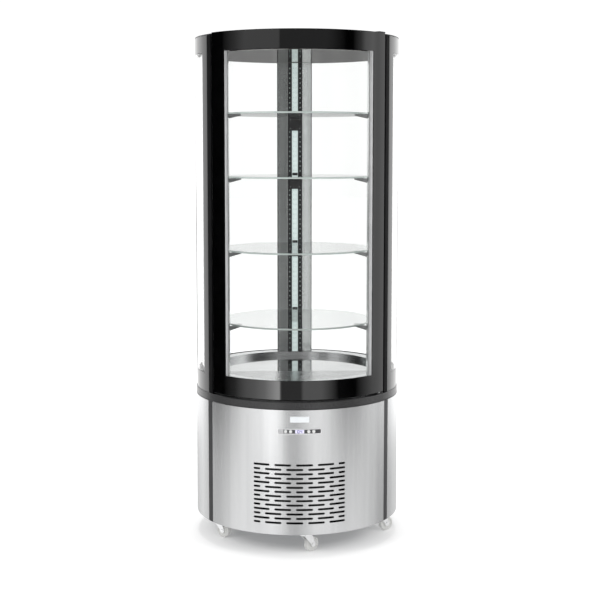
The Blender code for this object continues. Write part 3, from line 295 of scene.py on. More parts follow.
def fork_cheek(name, near, far):
    side = list(cheek_shoulders)
    for turn in range(24, -206, -23):
        x, z = round_point(boss_radius, turn)
        side.append((castor_trail + x, axle_height + z))
    return soften(raised(name, [(x, near, z) for x, z in side], (0.0, far - near, 0.0)), 0.0006)


def along_y(made):
    """Lays a piece turned about the upright axis along the axle."""
    axle = Matrix.Translation((castor_trail, 0.0, axle_height))
    made.data.transform(axle @ Matrix.Rotation(math.pi / 2.0, 4, "X"))
    return made


nut_outline = [(*round_point(nut_radius, 60.0 * side), nut_seat) for side in range(6)]
fork = weld(
    soften(turned("castor_fork_master", cap_section, 40), 0.0003, 1),
    fork_cheek("near_cheek", cheek_inside, cheek_outside),
    fork_cheek("far_cheek", -cheek_outside, -cheek_inside),
    along_y(soften(raised("axle_nut", nut_outline, (0.0, 0.0, nut_height)), 0.0004)),
    along_y(smooth(turned("axle_bolt", bolt_section, 24))),
)


# Castor wheels, moulded in pale nylon with a crowned tread and a dished side round the hub.
# One fork and one wheel are made and copied to the five stems, each with its own heading.

nylon = finish(
    "grey_nylon", 260.0, (0.8, 0.8, 0.78), (0.88, 0.88, 0.86), 40.0, (0.38, 0.55), (0.0002, 0.25, 260.0),
    Specular_IOR_Level=0.45,
)

half_section = [
    (0.0048, 0.0086), (0.0088, 0.0086), (0.0098, 0.0078), (0.0108, 0.0064), (0.0176, 0.0064),
    (0.019, 0.0074), (0.02, 0.0088), (0.0222, 0.009), (0.024, 0.0082), (0.0248, 0.0066),
    (0.025, 0.004),
]
wheel_section = half_section + [(radius, -height) for radius, height in reversed(half_section)]
wheel = along_y(smooth(turned("castor_wheel_master", wheel_section, 48), 40.0))

for number, heading in enumerate(castor_headings, start=1):
    stand = polar(castor_first + castor_spacing * (number - 1), castor_circle)
    place = Matrix.Translation(stand) @ Matrix.Rotation(math.radians(heading), 4, "Z")
    made = copied(fork, f"plated_fork_{number}", place)
    fit(made, bright_plate, f"castor_fork_{number}", body=f"castor_{number}", slot="castor_fork")
    made = copied(wheel, f"nylon_wheel_{number}", place)
    fit(made, nylon, f"castor_wheel_{number}", body=f"wheel_{number}", slot="castor_wheel")
bpy.data.objects.remove(fork)
bpy.data.objects.remove(wheel)


# Round base in three stainless panels, 1.5 mm thick, rolled with the grain upright.
# The front one has rows of punched air slots with rounded ends, staggered from row to row, and a window.

case_radius = 0.35
panel_inside = 0.3485
base_low, base_high = 0.075, 0.4873
front_half = math.radians(55.207) * case_radius
side_start, side_end = 59.593, 177.807
slot_rows = 14
slot_pitch = 0.01475
slot_height = 0.007
slot_length = 0.055
slot_gap = 0.0162
slots_half = 0.154
lowest_slot = 0.111
window_half = 0.0575
window_low, window_high = 0.4104, 0.426
punch_reach = (0.34, 0.36)


def square(inside, outside, low, high):
    """A section with four corners."""
    return [(inside, low), (outside, low), (outside, high), (inside, high)]


def blank(name, left, right, low, high, near, far):
    """A flat sheet: length along x, depth along y and height along z."""
    unselect()
    bpy.ops.mesh.primitive_cube_add(
        size=1.0, location=(0.5 * (left + right), 0.5 * (near + far), 0.5 * (low + high)),
        scale=(right - left, far - near, high - low),
    )
    made = named(bpy.context.object, name)
    bpy.ops.object.transform_apply(location=True, rotation=True, scale=True)
    return made


def score(made, axis, places):
    """Cuts a piece across at each place along an axis, and keeps both sides."""
    alone(made, edit=True)
    normal = [0.0, 0.0, 0.0]
    normal[axis] = 1.0
    for place in places:
        bpy.ops.mesh.select_all(action="SELECT")
        bpy.ops.mesh.bisect(plane_co=[place * part for part in normal], plane_no=normal)
    bpy.ops.object.mode_set(mode="OBJECT")


def roll(made, radius=case_radius, step=1.0):
    """Rolls a flat piece round the case: lengths along x become plan angles, depths become radii."""
    places = [corner.co.x for corner in made.data.vertices]
    pace = math.radians(step) * radius
    first, last = math.ceil(min(places) / pace + 0.05), math.floor(max(places) / pace - 0.05)
    score(made, 0, [pace * number for number in range(first, last + 1)])
    for corner in made.data.vertices:
        corner.co = polar(math.degrees(corner.co.x / radius), corner.co.y, corner.co.z)
    alone(made, edit=True)
    return close_up(made)


def round_corners(made, radius, segments=5):
    """Rounds the edges of a flat piece that run through its depth."""
    alone(made, edit=True)
    bpy.ops.mesh.select_mode(type="EDGE")
    mesh = bmesh.from_edit_mesh(made.data)
    for edge in mesh.edges:
        run = edge.verts[1].co - edge.verts[0].co
        edge.select_set(abs(run.y) > 0.9 * run.length)
    bmesh.update_edit_mesh(made.data)
    bpy.ops.mesh.bevel(offset=radius, segments=segments, affect="EDGES")
    bpy.ops.mesh.select_mode(type="VERT")
    bpy.ops.object.mode_set(mode="OBJECT")
    return made


def spread(made, places):
    """Copies a piece to every place and joins the copies into one."""
    twins = [copied(made, made.name, place) for place in places[1:]]
    made.data.transform(places[0])
    return weld(made, *twins)


def lift(height):
    return Matrix.Translation((0.0, 0.0, height))


def punch(made, *tools):
    """Cuts every tool out of a piece in one go."""
    tool = weld(*tools)
    hole = made.modifiers.new("punched", "BOOLEAN")
    hole.operation = "DIFFERENCE"
    hole.solver = "EXACT"
    hole.object = tool
    apply_all(made)
    bpy.data.objects.remove(tool)
    return made


brushed = finish(
    "brushed_stainless", (55.0, 55.0, 1.2, 3.0), (0.705, 0.71, 0.715), (0.735, 0.74, 0.745),
    (1500.0, 1500.0, 14.0, 4.0), (0.24, 0.275), (0.00002, 0.04), Metallic=0.95, Anisotropic=0.5,
)

front = blank("louvred_front", -front_half, front_half, base_low, base_high, panel_inside, case_radius)
tools = [blank("window", -window_half, window_half, window_low, window_high, *punch_reach)]
pace = slot_length + slot_gap
row_starts = [-slots_half + pace * number for number in range(math.ceil(2.0 * slots_half / pace))]
row_slots = [(start, min(start + slot_length, slots_half)) for start in row_starts]
for first, ends in ((1, row_slots), (0, [(-end, -start) for start, end in row_slots])):
    slots = [
        round_corners(
            blank("slot", start, end, lowest_slot, lowest_slot + slot_height, *punch_reach),
            0.47 * slot_height, 4,
        )
        for start, end in ends
    ]
    tools.append(spread(weld(*slots), [lift(slot_pitch * row) for row in range(first, slot_rows, 2)]))
front = smooth(roll(punch(front, *tools), step=1.5), 30.0)
fit(front, brushed, "louvred_front_panel", slot="brushed_steel")

panel_section = square(panel_inside, case_radius, base_low, base_high)
for side, start, end in (("right", side_start, side_end), ("left", -side_end, -side_start)):
    made = soften(swept(f"{side}_steel_panel", panel_section, start, end), 0.0004)
    fit(made, brushed, f"{side}_base_panel", slot="brushed_steel")


# Trim strips in the seams between the panels: folded steel with a satin black powder coat.
# The rear one also carries the gland, a black plastic collar held by a nut.

satin_black = finish(
    "satin_black_coat", 30.0, (0.016, 0.016, 0.018), (0.024, 0.024, 0.026), 900.0, (0.3, 0.42),
    (0.00008, 0.3), Specular_IOR_Level=0.5,
)

upright_angle = 57.4
trim_half = 1.997
gland_place = (0.0, 0.3486, 0.164)
gland_section = [
    (0.0045, -0.014), (0.0086, -0.014), (0.009, -0.0132), (0.009, 0.0002), (0.0084, 0.0011),
    (0.0062, 0.0014), (0.005, 0.0012), (0.0045, 0.0004),
]
trim_section = square(0.3487, 0.3495, base_low, base_high)
for side, middle in (("right", upright_angle), ("left", -upright_angle), ("rear", 180.0)):
    made = soften(
        swept(f"{side}_seam_strip", trim_section, middle - trim_half, middle + trim_half, 0.5), 0.0002, 1
    )
    if side == "rear":
        gland = turned("gland", gland_section, 32)
        gland.data.transform(Matrix.Translation(gland_place) @ Matrix.Rotation(-math.pi / 2.0, 4, "X"))
        made = weld(made, smooth(gland))
    fit(made, satin_black, f"{side}_base_trim", slot="black_painted")


# Ring on top of the base, moulded in black plastic, with rounded edges.
# It stands on the chassis's posts, just above the panels, and carries the cabinet.

gloss_black = finish(
    "black_moulding", 9.0, (0.03, 0.03, 0.031), (0.038, 0.038, 0.039), 500.0, (0.22, 0.32),
    Specular_IOR_Level=0.5,
)
ring = soften(turned("black_ring", square(0.2683, 0.349, 0.4876, 0.5126), 192), 0.002, 3)
fit(ring, gloss_black, "base_ring", slot="ring_black")


# Control strip: a light grey bezel over a dark panel, ribbed at both ends, with a lit display between
# four round push buttons. Moulded plastic, clipped into the window of the front panel.

bezel_half = 0.071
bezel_low, bezel_high = 0.4094, 0.427
bezel_inside, bezel_outside = 0.3503, 0.3521
bezel_rim, bezel_recess = 0.0021, 0.0007
body_half = 0.056
body_low, body_high = 0.4119, 0.4245
body_inside, body_outside = 0.3253, 0.3506
button_height = 0.4182
button_offsets = (-0.0455, -0.0294, 0.0294, 0.0455)
button_radius = 0.0052
button_section = [
    (0.0, 0.3446), (button_radius, 0.3446), (button_radius, 0.3533), (0.0049, 0.35385),
    (0.0043, 0.3541), (0.0036, 0.354), (0.0, 0.35375),
]
inlay = (0.35135, 0.35215)

bezel_grey = finish(
    "bezel_grey", 60.0, (0.78, 0.78, 0.79), (0.86, 0.86, 0.87), 700.0, (0.3, 0.45), (0.0001, 0.3),
    Specular_IOR_Level=0.5,
)
panel_dark = finish(
    "control_dark", 80.0, (0.075, 0.075, 0.08), (0.105, 0.105, 0.112), 800.0, (0.28, 0.4),
    Specular_IOR_Level=0.5,
)
button_grey = finish(
    "button_grey", 150.0, (0.76, 0.77, 0.76), (0.84, 0.85, 0.84), 600.0, (0.32, 0.48), Specular_IOR_Level=0.5
)

bezel = blank("control_bezel", -bezel_half, bezel_half, bezel_low, bezel_high, bezel_inside, bezel_outside)
alone(round_corners(bezel, 0.005, 6), edit=True)
bpy.ops.mesh.select_mode(type="FACE")
mesh = bmesh.from_edit_mesh(bezel.data)
for face in mesh.faces:
    face.select_set(face.normal.y > 0.9)
bmesh.update_edit_mesh(bezel.data)
bpy.ops.mesh.inset(thickness=bezel_rim)
bpy.ops.mesh.extrude_region_move(TRANSFORM_OT_translate={"value": (0.0, -bezel_recess, 0.0)})
mesh = bmesh.from_edit_mesh(bezel.data)
bezel.data.materials.append(bezel_grey)
bezel.data.materials.append(panel_dark)
for face in mesh.faces:
    if face.select:
        face.material_index = 1
bmesh.update_edit_mesh(bezel.data)
bpy.ops.mesh.select_mode(type="VERT")
bezel = roll(bezel)
body = blank("control_body", -body_half, body_half, body_low, body_high, body_inside, body_outside)
body.data.materials.append(panel_dark)
bezel = weld(bezel, roll(body))

pointing_out = Matrix.Rotation(math.pi / 2.0, 4, "X")
button_places = [
    lift(button_height) @ Matrix.Rotation(offset / case_radius, 4, "Z") @ pointing_out
    for offset in button_offsets
]
bore = turned("bore", square(0.0, button_radius + 0.0003, 0.344, 0.36), 32)
bezel = smooth(punch(bezel, spread(bore, button_places)), 30.0)
fit(bezel, bezel_grey, "control_panel", slot="control_black")

button = turned("button_master", button_section, 36)
for number, place in enumerate(button_places, start=1):
    cap = smooth(copied(button, f"round_button_{number}", place), 30.0)
    fit(cap, button_grey, f"button_{number}", body=f"push_button_{number}", slot="button_grey")
bpy.data.objects.remove(button)

# Ribs at the two ends of the strip: pale ones on the left, dark ones on the right.
rib_pitch, rib_width = 0.0019, 0.0013
for side, first, coating in (("left", -0.0675, bezel_grey), ("right", 0.0535, panel_dark)):
    ribs = []
    for start in [first + rib_pitch * number for number in range(8)]:
        rib = blank(f"{side}_ribs", start, start + rib_width, 0.4122, 0.4242, *inlay)
        ribs.append(soften(roll(rib), 0.0002))
    fit(weld(*ribs), coating)

# Display: a pale lavender window, lit from behind, with two plain blue figures on it.
display_pale = finish(
    "display_window", (160.0, 160.0, 64.0, 3.0), (0.72, 0.7, 0.86), (0.8, 0.78, 0.92), Roughness=0.12,
    Emission_Color=(0.72, 0.68, 1.0, 1.0), Emission_Strength=0.22,
)
lit_blue = finish(
    "lit_figures", 300.0, (0.016, 0.012, 0.16), (0.028, 0.02, 0.22), Roughness=0.3,
    Emission_Color=(0.2, 0.14, 0.9, 1.0), Emission_Strength=0.12,
)
pane = round_corners(blank("display_pane", -0.0145, 0.0145, 0.4124, 0.424, *inlay), 0.0012, 3)
fit(soften(roll(pane), 0.0002), display_pale)

figure_width, figure_height, figure_depth, stroke = 0.0054, 0.0088, 0.0002, 0.0018
strokes = {
    "top": ((0.0, 1.0), (1.0, 1.0)), "middle": ((0.0, 0.5), (1.0, 0.5)), "bottom": ((0.0, 0.0), (1.0, 0.0)),
    "left_high": ((0.0, 0.5), (0.0, 1.0)), "left_low": ((0.0, 0.0), (0.0, 0.5)),
    "right_high": ((1.0, 0.5), (1.0, 1.0)), "right_low": ((1.0, 0.0), (1.0, 0.5)),
}
figures = {
    -0.0044: ("top", "bottom", "left_high", "left_low", "right_high", "right_low"),
    0.0044: ("middle", "left_high", "right_high", "right_low"),
}
lit = []
for middle, parts in figures.items():
    for part in parts:
        (x0, z0), (x1, z1) = strokes[part]
        beside, above = (-0.75 * stroke, 0.5 * stroke) if x0 != x1 else (0.5 * stroke, -0.3 * stroke)
        left, right = (middle + (x - 0.5) * figure_width for x in (x0, x1))
        low, high = (button_height + (z - 0.5) * figure_height for z in (z0, z1))
        bar = blank(
            "lit_figures", left - beside, right + beside, low - above, high + above, bezel_outside,
            bezel_outside + figure_depth,
        )
        lit.append(roll(bar))
fit(smooth(weld(*lit)), lit_blue)


# Small plate above the controls, left bare.
# Thin aluminium with a pale printed face and rounded corners, stuck to the front panel.

plate_pale = finish(
    "pale_plate", 45.0, (0.88, 0.91, 0.94), (0.92, 0.95, 0.97), 400.0, (0.22, 0.34), Specular_IOR_Level=0.5
)
plate = round_corners(blank("bare_plate", -0.031, 0.031, 0.4477, 0.4669, 0.3501, 0.3508), 0.0022, 4)
fit(soften(roll(plate), 0.00025), plate_pale)


# Deck: an insulated rim skinned in polished stainless steel, with a step for the door's seal in front and
# a shoulder for the fixed panes behind, and below it the insulated well with its steel liner.

deck_low, deck_high = 0.5129, 0.5762
rim_inside, seal_face, shoulder = 0.285, 0.315, 0.3257
seal_end = 55.91
lap = 0.002

polished = finish(
    "polished_stainless", 14.0, (0.74, 0.745, 0.75), (0.8, 0.805, 0.81), (500.0, 30.0, 500.0, 3.0),
    (0.2, 0.28), Metallic=1.0,
)


def stepped(name, inside, low, high):
    """A round piece with the step in front and the shoulder behind."""
    middle = soften(turned(name, square(inside, seal_face, low, high), 192), 0.0012, 3)
    behind = swept("shoulder", square(seal_face - lap, shoulder, low, high), seal_end, 360.0 - seal_end)
    return weld(middle, soften(behind, 0.0008))


rim = stepped("polished_rim", rim_inside, deck_low, deck_high)
fit(rim, polished, "deck_rim", slot="insulated_rim")

liner = finish(
    "liner_steel", 25.0, (0.5, 0.51, 0.52), (0.58, 0.59, 0.6), (300.0, 300.0, 20.0, 3.0), (0.26, 0.4),
    Metallic=1.0,
)
coat(liner, "evaporator_well")


# Floor of the display in two steel plates with a straight joint: the rear one polished like a mirror,
# the front one brushed, both lifted out by hand.

lip = 0.2847
plate_low, plate_high = 0.557, 0.56
rear_joint, front_joint = 0.03685, 0.03715


def plan_arc(start, end, radius, count, height):
    return [polar(start + (end - start) * step / count, radius, height) for step in range(count + 1)]


mirror_steel = finish(
    "mirror_stainless", 12.0, (0.66, 0.665, 0.67), (0.72, 0.725, 0.73), (30.0, 600.0, 30.0, 3.0),
    (0.03, 0.07), Metallic=1.0,
)
brushed_plate = finish(
    "brushed_plate", 18.0, (0.55, 0.555, 0.56), (0.62, 0.625, 0.63), (16.0, 1400.0, 16.0, 4.0),
    (0.2, 0.3), (0.00003, 0.3), Metallic=1.0,
)
rear_edge = math.degrees(math.acos(rear_joint / lip))
front_edge = math.degrees(math.acos(front_joint / lip))
for name, start, end, steps, coating, node, slot in (
    ("rear_polished_floor", rear_edge, 360.0 - rear_edge, 130, mirror_steel, "rear_floor_plate",
     "polished_steel"),
    ("front_brushed_floor", -front_edge, front_edge, 110, brushed_plate, "front_floor_plate", "brushed_steel"),
):
    made = raised(name, plan_arc(start, end, lip, steps, plate_low), (0.0, 0.0, plate_high - plate_low))
    fit(soften(made, 0.0005), coating, node, slot=slot)


# Two front uprights and the rear column: natural anodised aluminium extrusions between rim and ceiling.
# Each has a rib that the cover strip is pressed on, and the uprights a face for the door's seal.

post_low, post_high = 0.5765, 1.6399
post_rise = (0.0, 0.0, post_high - post_low)
upright_face = 0.288
rib_half = 1.487
rib_radius = 0.336
column_half, column_face_half = 0.0605, 0.027
column_face, column_side = 0.275, 0.305

anodised = finish(
    "natural_anodised", (60.0, 60.0, 2.0, 3.0), (0.46, 0.48, 0.475), (0.53, 0.55, 0.545),
    (900.0, 900.0, 5.0, 4.0), (0.14, 0.22), (0.00004, 0.3), Metallic=0.85,
)


def across(angle, side, out, height=0.0):
    """A point beside the line at a plan angle: to its side and out from the axis."""
    return polar(angle, out, height) + polar(angle + 90.0, side)


outline = plan_arc(46.46, seal_end, seal_face, 6, post_low)
outline += plan_arc(55.92, 58.88, rib_radius, 3, post_low)
outline += plan_arc(58.89, 60.91, shoulder, 2, post_low)
outline += [across(upright_angle, side, upright_face, post_low) for side in (0.02, -0.03)]
for side, sign in (("right", 1.0), ("left", -1.0)):
    made = raised(f"{side}_extrusion", [(sign * x, y, z) for x, y, z in outline], post_rise)
    fit(soften(made, 0.0007), anodised, f"{side}_upright", slot="upright_aluminium")

wide = math.degrees(column_half / shoulder)
column = plan_arc(180.0 - wide, 180.0 - rib_half, shoulder, 6, post_low)
column += plan_arc(180.0 - rib_half, 180.0 + rib_half, rib_radius, 3, post_low)
column += plan_arc(180.0 + rib_half, 180.0 + wide, shoulder, 6, post_low)
column += [
    across(180.0, side, out, post_low)
    for side, out in (
        (column_half, column_side), (column_face_half, column_face),
        (-column_face_half, column_face), (-column_half, column_side),
    )
]
made = soften(raised("rear_extrusion", column, post_rise), 0.0008)
fit(made, anodised, "rear_column", slot="upright_aluminium")

# Cover strips over the joints between the panes, black anodised, with rounded long edges and ends.
black_anodised = finish(
    "black_anodised", 20.0, (0.003, 0.003, 0.0035), (0.006, 0.006, 0.0065), (900.0, 900.0, 6.0, 3.0),
    (0.36, 0.48), Specular_IOR_Level=0.03,
)
cover_section = square(0.3365, 0.347, 0.5132, 1.6966)
cover_half = 1.8
for side, middle, node in (
    ("right", upright_angle, "right_upright"), ("left", -upright_angle, "left_upright"),
    ("rear", 180.0, "rear_column"),
):
    made = swept(f"{side}_cover_strip", cover_section, middle - cover_half, middle + cover_half, 0.6)
    fit(soften(made, 0.0018, 4), black_anodised, f"{node}_cover", slot="black_cover")


# Two fixed side panes, each a sealed unit of two curved sheets, 5 mm outside and 4 mm inside.
# The outer one has a black border fired on behind it, which hides the dark spacer between them.

pane_start, pane_end = 59.5, 177.9
pane_low, pane_high = 0.5129, 1.6969
outer_sheet, inner_sheet = (0.342, 0.347), (0.326, 0.33)
spacer_depth, spacer_middle = (0.3304, 0.3414), 0.336
front_border, rear_border, low_border, high_border = 0.036, 0.052, 0.0625, 0.0549
spacer_side, spacer_end = 0.014, 0.02


def clear_glass(name, bend, deep, tint):
    """Clear glass with faint waves in its tint."""
    return finish(name, 2.5, deep, tint, Transmission_Weight=1.0, Roughness=0.0, IOR=bend)


glass_face = clear_glass("clear_glass_face", 1.2, (0.995, 0.999, 0.997), (0.998, 1.0, 0.999))
glass_edge = clear_glass("green_glass_edge", 1.45, (0.3, 0.62, 0.52), (0.42, 0.72, 0.62))
dark_edge = clear_glass("dark_glass_edge", 1.45, (0.05, 0.14, 0.12), (0.08, 0.2, 0.17))
print_black = finish(
    "printed_black", 24.0, (0.0008, 0.0008, 0.0009), (0.0016, 0.0016, 0.0018), 6.0, (0.015, 0.035),
    Specular_IOR_Level=0.75,
)
print_back = finish(
    "print_back", 24.0, (0.006, 0.006, 0.007), (0.01, 0.01, 0.011), 1200.0, (0.35, 0.5),
    Specular_IOR_Level=0.3,
)
spacer_dark = finish(
    "dark_spacer", 50.0, (0.02, 0.02, 0.02), (0.032, 0.032, 0.033), 500.0, (0.4, 0.6),
    Specular_IOR_Level=0.4,
)


def see_through(made):
    """Glass lets the lamps' light by."""
    made.visible_shadow = False
    made.visible_diffuse = False


def glass_sheet(name, sheet, start, end, low, high, bars=None):
    """A curved sheet with ground edges, rolled from flat, that lets light by. Bars are the widths of its
    printed border at left, right, bottom and top."""
    middle = 0.5 * sum(sheet)
    left, right, bottom, top = math.radians(start) * middle, math.radians(end) * middle, low, high
    made = blank(name, left, right, low, high, *sheet)
    if bars:
        left, right, bottom, top = left + bars[0], right - bars[1], low + bars[2], high - bars[3]
        score(made, 0, [left, right])
        score(made, 2, [bottom, top])
    made = soften(roll(made, middle, 1.5), 0.0008)
    for coating in (glass_face, dark_edge, print_black, print_back) if bars else (glass_face, glass_edge):
        made.data.materials.append(coating)
    for face in made.data.polygons:
        x, y, z = face.center
        facing = face.normal.dot(Vector((x, y, 0.0)).normalized())
        if abs(facing) < 0.98:
            face.material_index = 1
        elif left < math.atan2(x, -y) * middle < right and bottom < z < top:
            face.material_index = 0
        else:
            face.material_index = 2 if facing > 0.0 else 3
    see_through(made)
    return made


def framed(name, start, end, low, high, depth, radius, side, rail):
    """A flat frame with an opening, rolled round the case, as wide as side at its sides and rail above and
    below."""
    near, far = depth
    left, right = math.radians(start) * radius, math.radians(end) * radius
    made = blank(name, left, right, low, high, near, far)
    hole = blank("opening", left + side, right - side, low + rail, high - rail, near - 0.01, far + 0.01)
    made = punch(made, hole)
    score(made, 2, [low + rail, high - rail])
    return roll(made, radius, 1.5)


for side, start, end, borders in (
    ("right", pane_start, pane_end, (front_border, rear_border)),
    ("left", -pane_end, -pane_start, (rear_border, front_border)),
):
    bars = (*borders, low_border, high_border)
    made = glass_sheet(f"{side}_outer_sheet", outer_sheet, start, end, pane_low, pane_high, bars)
    fit(made, glass_face, f"{side}_outer_glass", slot="printed_glass")
    made = glass_sheet(f"{side}_inner_sheet", inner_sheet, start, end, pane_low, pane_high)
    fit(made, glass_face, f"{side}_inner_glass", slot="clear_glass")
    made = framed(
        f"{side}_spacer", start + 0.3, end - 0.3, pane_low + 0.002, pane_high - 0.002, spacer_depth,
        spacer_middle, spacer_side, spacer_end,
    )
    fit(soften(made, 0.0006, 1), spacer_dark)


# Shelf supports: slotted steel rails on the uprights and on both sides of the light, with bracket arms and
# blocks hooked into them under each shelf. Enamelled dark grey at the front and black at the back.

slot_first = 0.0157
rail_pitch = 0.0177
seats = [deck_high + slot_first + rail_pitch * number for number in (8, 22, 36, 48)]
arm_half, arm_root, arm_tip = 0.006, 0.285, 0.227
block_face = 0.2637
block_fall = 0.048

enamel_grey = finish(
    "dark_grey_enamel", 35.0, (0.16, 0.165, 0.165), (0.22, 0.225, 0.225), 500.0, (0.3, 0.42),
    (0.0001, 0.25), Metallic=0.3,
)
enamel_black = finish(
    "black_enamel", 35.0, (0.01, 0.01, 0.011), (0.018, 0.018, 0.02), 600.0, (0.26, 0.38),
    (0.0001, 0.25), Metallic=0.1,
)
rivet_bright = finish(
    "bright_rivet", 300.0, (0.75, 0.75, 0.75), (0.85, 0.85, 0.85), 500.0, (0.15, 0.25), Metallic=1.0
)


def bar_at(name, angle, left, right, near, far, low, high):
    """A straight bar square to the line at a plan angle."""
    corners = [across(angle, side, out, low) for side, out in square(left, right, near, far)]
    return raised(name, corners, (0.0, 0.0, high - low))


def slotted_rail(name, angle, left, right, near, far, columns, half, tall):
    """A rail with columns of upright slots, one each pitch."""
    rail = soften(bar_at(name, angle, left, right, near, far, post_low, post_high), 0.0005)
    first = deck_high + slot_first
    places = [lift(rail_pitch * row) for row in range(math.ceil((post_high - 0.012 - first) / rail_pitch))]
    cutters = [
        spread(
            bar_at("cutter", angle, middle - half, middle + half, near - 0.002, far + 0.002, first - tall,
                   first + tall),
            places,
        )
        for middle in columns
    ]
    return smooth(punch(rail, *cutters))


for side, angle in (("right", upright_angle), ("left", -upright_angle)):
    rail = slotted_rail(
        f"{side}_slotted_rail", angle, -0.01, 0.01, 0.2845, 0.2877, (-0.0045, 0.0045), 0.0013, 0.0045
    )
    fit(rail, enamel_grey, f"{side}_shelf_support", slot="bracket_grey")
    # A wedge arm that narrows towards the middle, with a lip at its tip.
    wedge = [
        (arm_root, 0.0), (arm_tip + 0.003, 0.0), (arm_tip + 0.0008, -0.0008), (arm_tip, -0.0028),
        (arm_tip + 0.0008, -0.0045), (arm_tip + 0.003, -0.0052), (arm_root, -0.017),
    ]
    arm = raised(
        "arm_master", [across(angle, -arm_half, out, height) for out, height in wedge],
        across(angle, arm_half, 0.0) - across(angle, -arm_half, 0.0),
    )
    arm = soften(arm, 0.0007)
    for number, seat in enumerate(seats, start=1):
        made = copied(arm, f"{side}_bracket_{number}", lift(seat))
        fit(made, enamel_grey, slot="bracket_grey")
    bpy.data.objects.remove(arm)

for side, left, right in (("right", -0.0263, -0.0118), ("left", 0.0118, 0.0263)):
    rail = slotted_rail(
        f"rear_{side}_rail", 180.0, left, right, 0.2702, 0.2747, (0.5 * (left + right),), 0.001, 0.0024
    )
    fit(rail, enamel_black, "rear_shelf_support", slot="bracket_black")

block = weld(
    soften(bar_at("block_master", 180.0, -0.0215, 0.0215, block_face, 0.2706, -block_fall, 0.0), 0.001),
    soften(bar_at("tab", 180.0, -0.0095, 0.0095, 0.264, 0.2704, -0.001, 0.011), 0.001),
    soften(bar_at("tongue", 180.0, -0.0212, 0.0212, 0.2437, 0.2645, -0.005, -0.0003), 0.0008),
)
rivet_section = [(0.0, 0.0), (0.0016, 0.0), (0.0015, 0.0005), (0.0009, 0.0009), (0.0, 0.001)]
rivets = smooth(spread(turned("rivet_master", rivet_section, 16), [
    Matrix.Translation(across(180.0, side, block_face, -drop)) @ pointing_out
    for drop in (0.008, 0.04) for side in (-0.0165, 0.0165)
]))
for number, seat in enumerate(seats, start=1):
    made = copied(block, f"rear_block_{number}", lift(seat))
    fit(made, enamel_black, slot="bracket_black")
    fit(copied(rivets, f"rear_rivets_{number}", lift(seat)), rivet_bright)
bpy.data.objects.remove(block)
bpy.data.objects.remove(rivets)


# Light strip in the rear column: an aluminium tray with white diodes in pairs under a frosted cover.
# The cover's thin wings run behind the rails and are held by them, and their light shows in the slots.

cover_glow = finish(
    "frosted_cover", 80.0, (0.4, 0.45, 0.44), (0.46, 0.51, 0.5), Roughness=0.45, Emission_Strength=0.45
)
tree = cover_glow.node_tree
waves = []
for way, pitch in (("Z", rail_pitch), ("X", 0.008)):
    wave = {
        "Vector": wire(tree, "TexCoord", {}, "Object"), "Scale": math.tau / (20.0 * pitch), "Distortion": 0.0,
    }
    waves.append(wire(tree, "TexWave", wave, "Fac", wave_type="BANDS", bands_direction=way))
dots = wire(tree, "Math", {0: waves[0], 1: waves[1]}, operation="MULTIPLY")
glow = ramped(tree, dots, ((0.45, (0.8, 0.93, 0.91)), (0.85, (0.42, 0.56, 0.54))))
tree.links.new(glow, tree.nodes["Principled BSDF"].inputs["Emission Color"])

cover_low, cover_high = post_low + 0.002, post_high - 0.002
cover_outline = [
    (-0.0108, 0.2745), (-0.0108, 0.2732), (-0.0085, 0.2723), (-0.0045, 0.2719), (0.0, 0.2718),
    (0.0045, 0.2719), (0.0085, 0.2723), (0.0108, 0.2732), (0.0108, 0.2745),
]
strip = raised(
    "frosted_light_cover", [across(180.0, side, out, cover_low) for side, out in cover_outline],
    (0.0, 0.0, cover_high - cover_low),
)
wings = [
    bar_at("wing", 180.0, left, right, 0.27476, 0.27494, cover_low, cover_high)
    for left, right in ((-0.0255, -0.0122), (0.0122, 0.0255))
]
fit(smooth(weld(strip, *wings)), cover_glow, "rear_light_strip", slot="light_cover")


# Four round shelves of 6 mm toughened glass, laid on the brackets.
# Their edges are ground and polished, and glow faintly with painted light, as the edges are no lamp.

shelf_radius = 0.259
shelf_low, shelf_high = 0.0003, 0.0063
shelf_clear = clear_glass("shelf_glass_face", 1.35, (0.965, 0.985, 0.977), (0.978, 0.992, 0.986))
# Edge finish: the green is the glass's own colour; its faint emission is a painted highlight on the edges.
shelf_edge_painted_glow = finish(
    "shelf_glass_edge_painted_glow", 2.5, (0.76, 0.84, 0.81), (0.83, 0.9, 0.87), Transmission_Weight=0.7, Roughness=0.0,
    IOR=1.45, Emission_Color=(0.84, 0.95, 0.91, 1.0), Emission_Strength=0.13,
)
shelf = soften(turned("shelf_master", square(0.0, shelf_radius, shelf_low, shelf_high), 144), 0.0012)
shelf.data.materials.append(shelf_clear)
shelf.data.materials.append(shelf_edge_painted_glow)
for face in shelf.data.polygons:
    face.material_index = 0 if abs(face.normal.z) > 0.98 else 1
for number, seat in enumerate(reversed(seats), start=1):
    made = copied(shelf, f"glass_shelf_{number}", lift(seat))
    see_through(made)
    fit(made, shelf_clear, f"shelf_{number}", slot="shelf_glass")
bpy.data.objects.remove(shelf)


# Ceiling: an insulated panel skinned in polished steel, with the same step for the seal as the rim.
# Over it lies a thin black lid, screwed down round its edge.

ceiling_low, ceiling_high = 1.6402, 1.6969
lid_low, lid_high = 1.6972, 1.7002
lid_edge, lid_front, lid_back = 55.6, 0.318, 0.347
screw_section = [
    (0.0, 0.0), (0.0036, 0.0), (0.0034, 0.0007), (0.0024, 0.0013), (0.0014, 0.0015), (0.0012, 0.0008),
    (0.0, 0.0008),
]

ceiling_steel = finish(
    "ceiling_stainless", (14.0, 2.5, 1.0, 4.0), (0.56, 0.55, 0.53), (0.7, 0.69, 0.67),
    (30.0, 500.0, 30.0, 3.0), (0.04, 0.08), Metallic=1.0,
)
ceiling = stepped("polished_ceiling", 0.0, ceiling_low, ceiling_high)
fit(ceiling, ceiling_steel, "ceiling_panel", slot="insulated_rim")

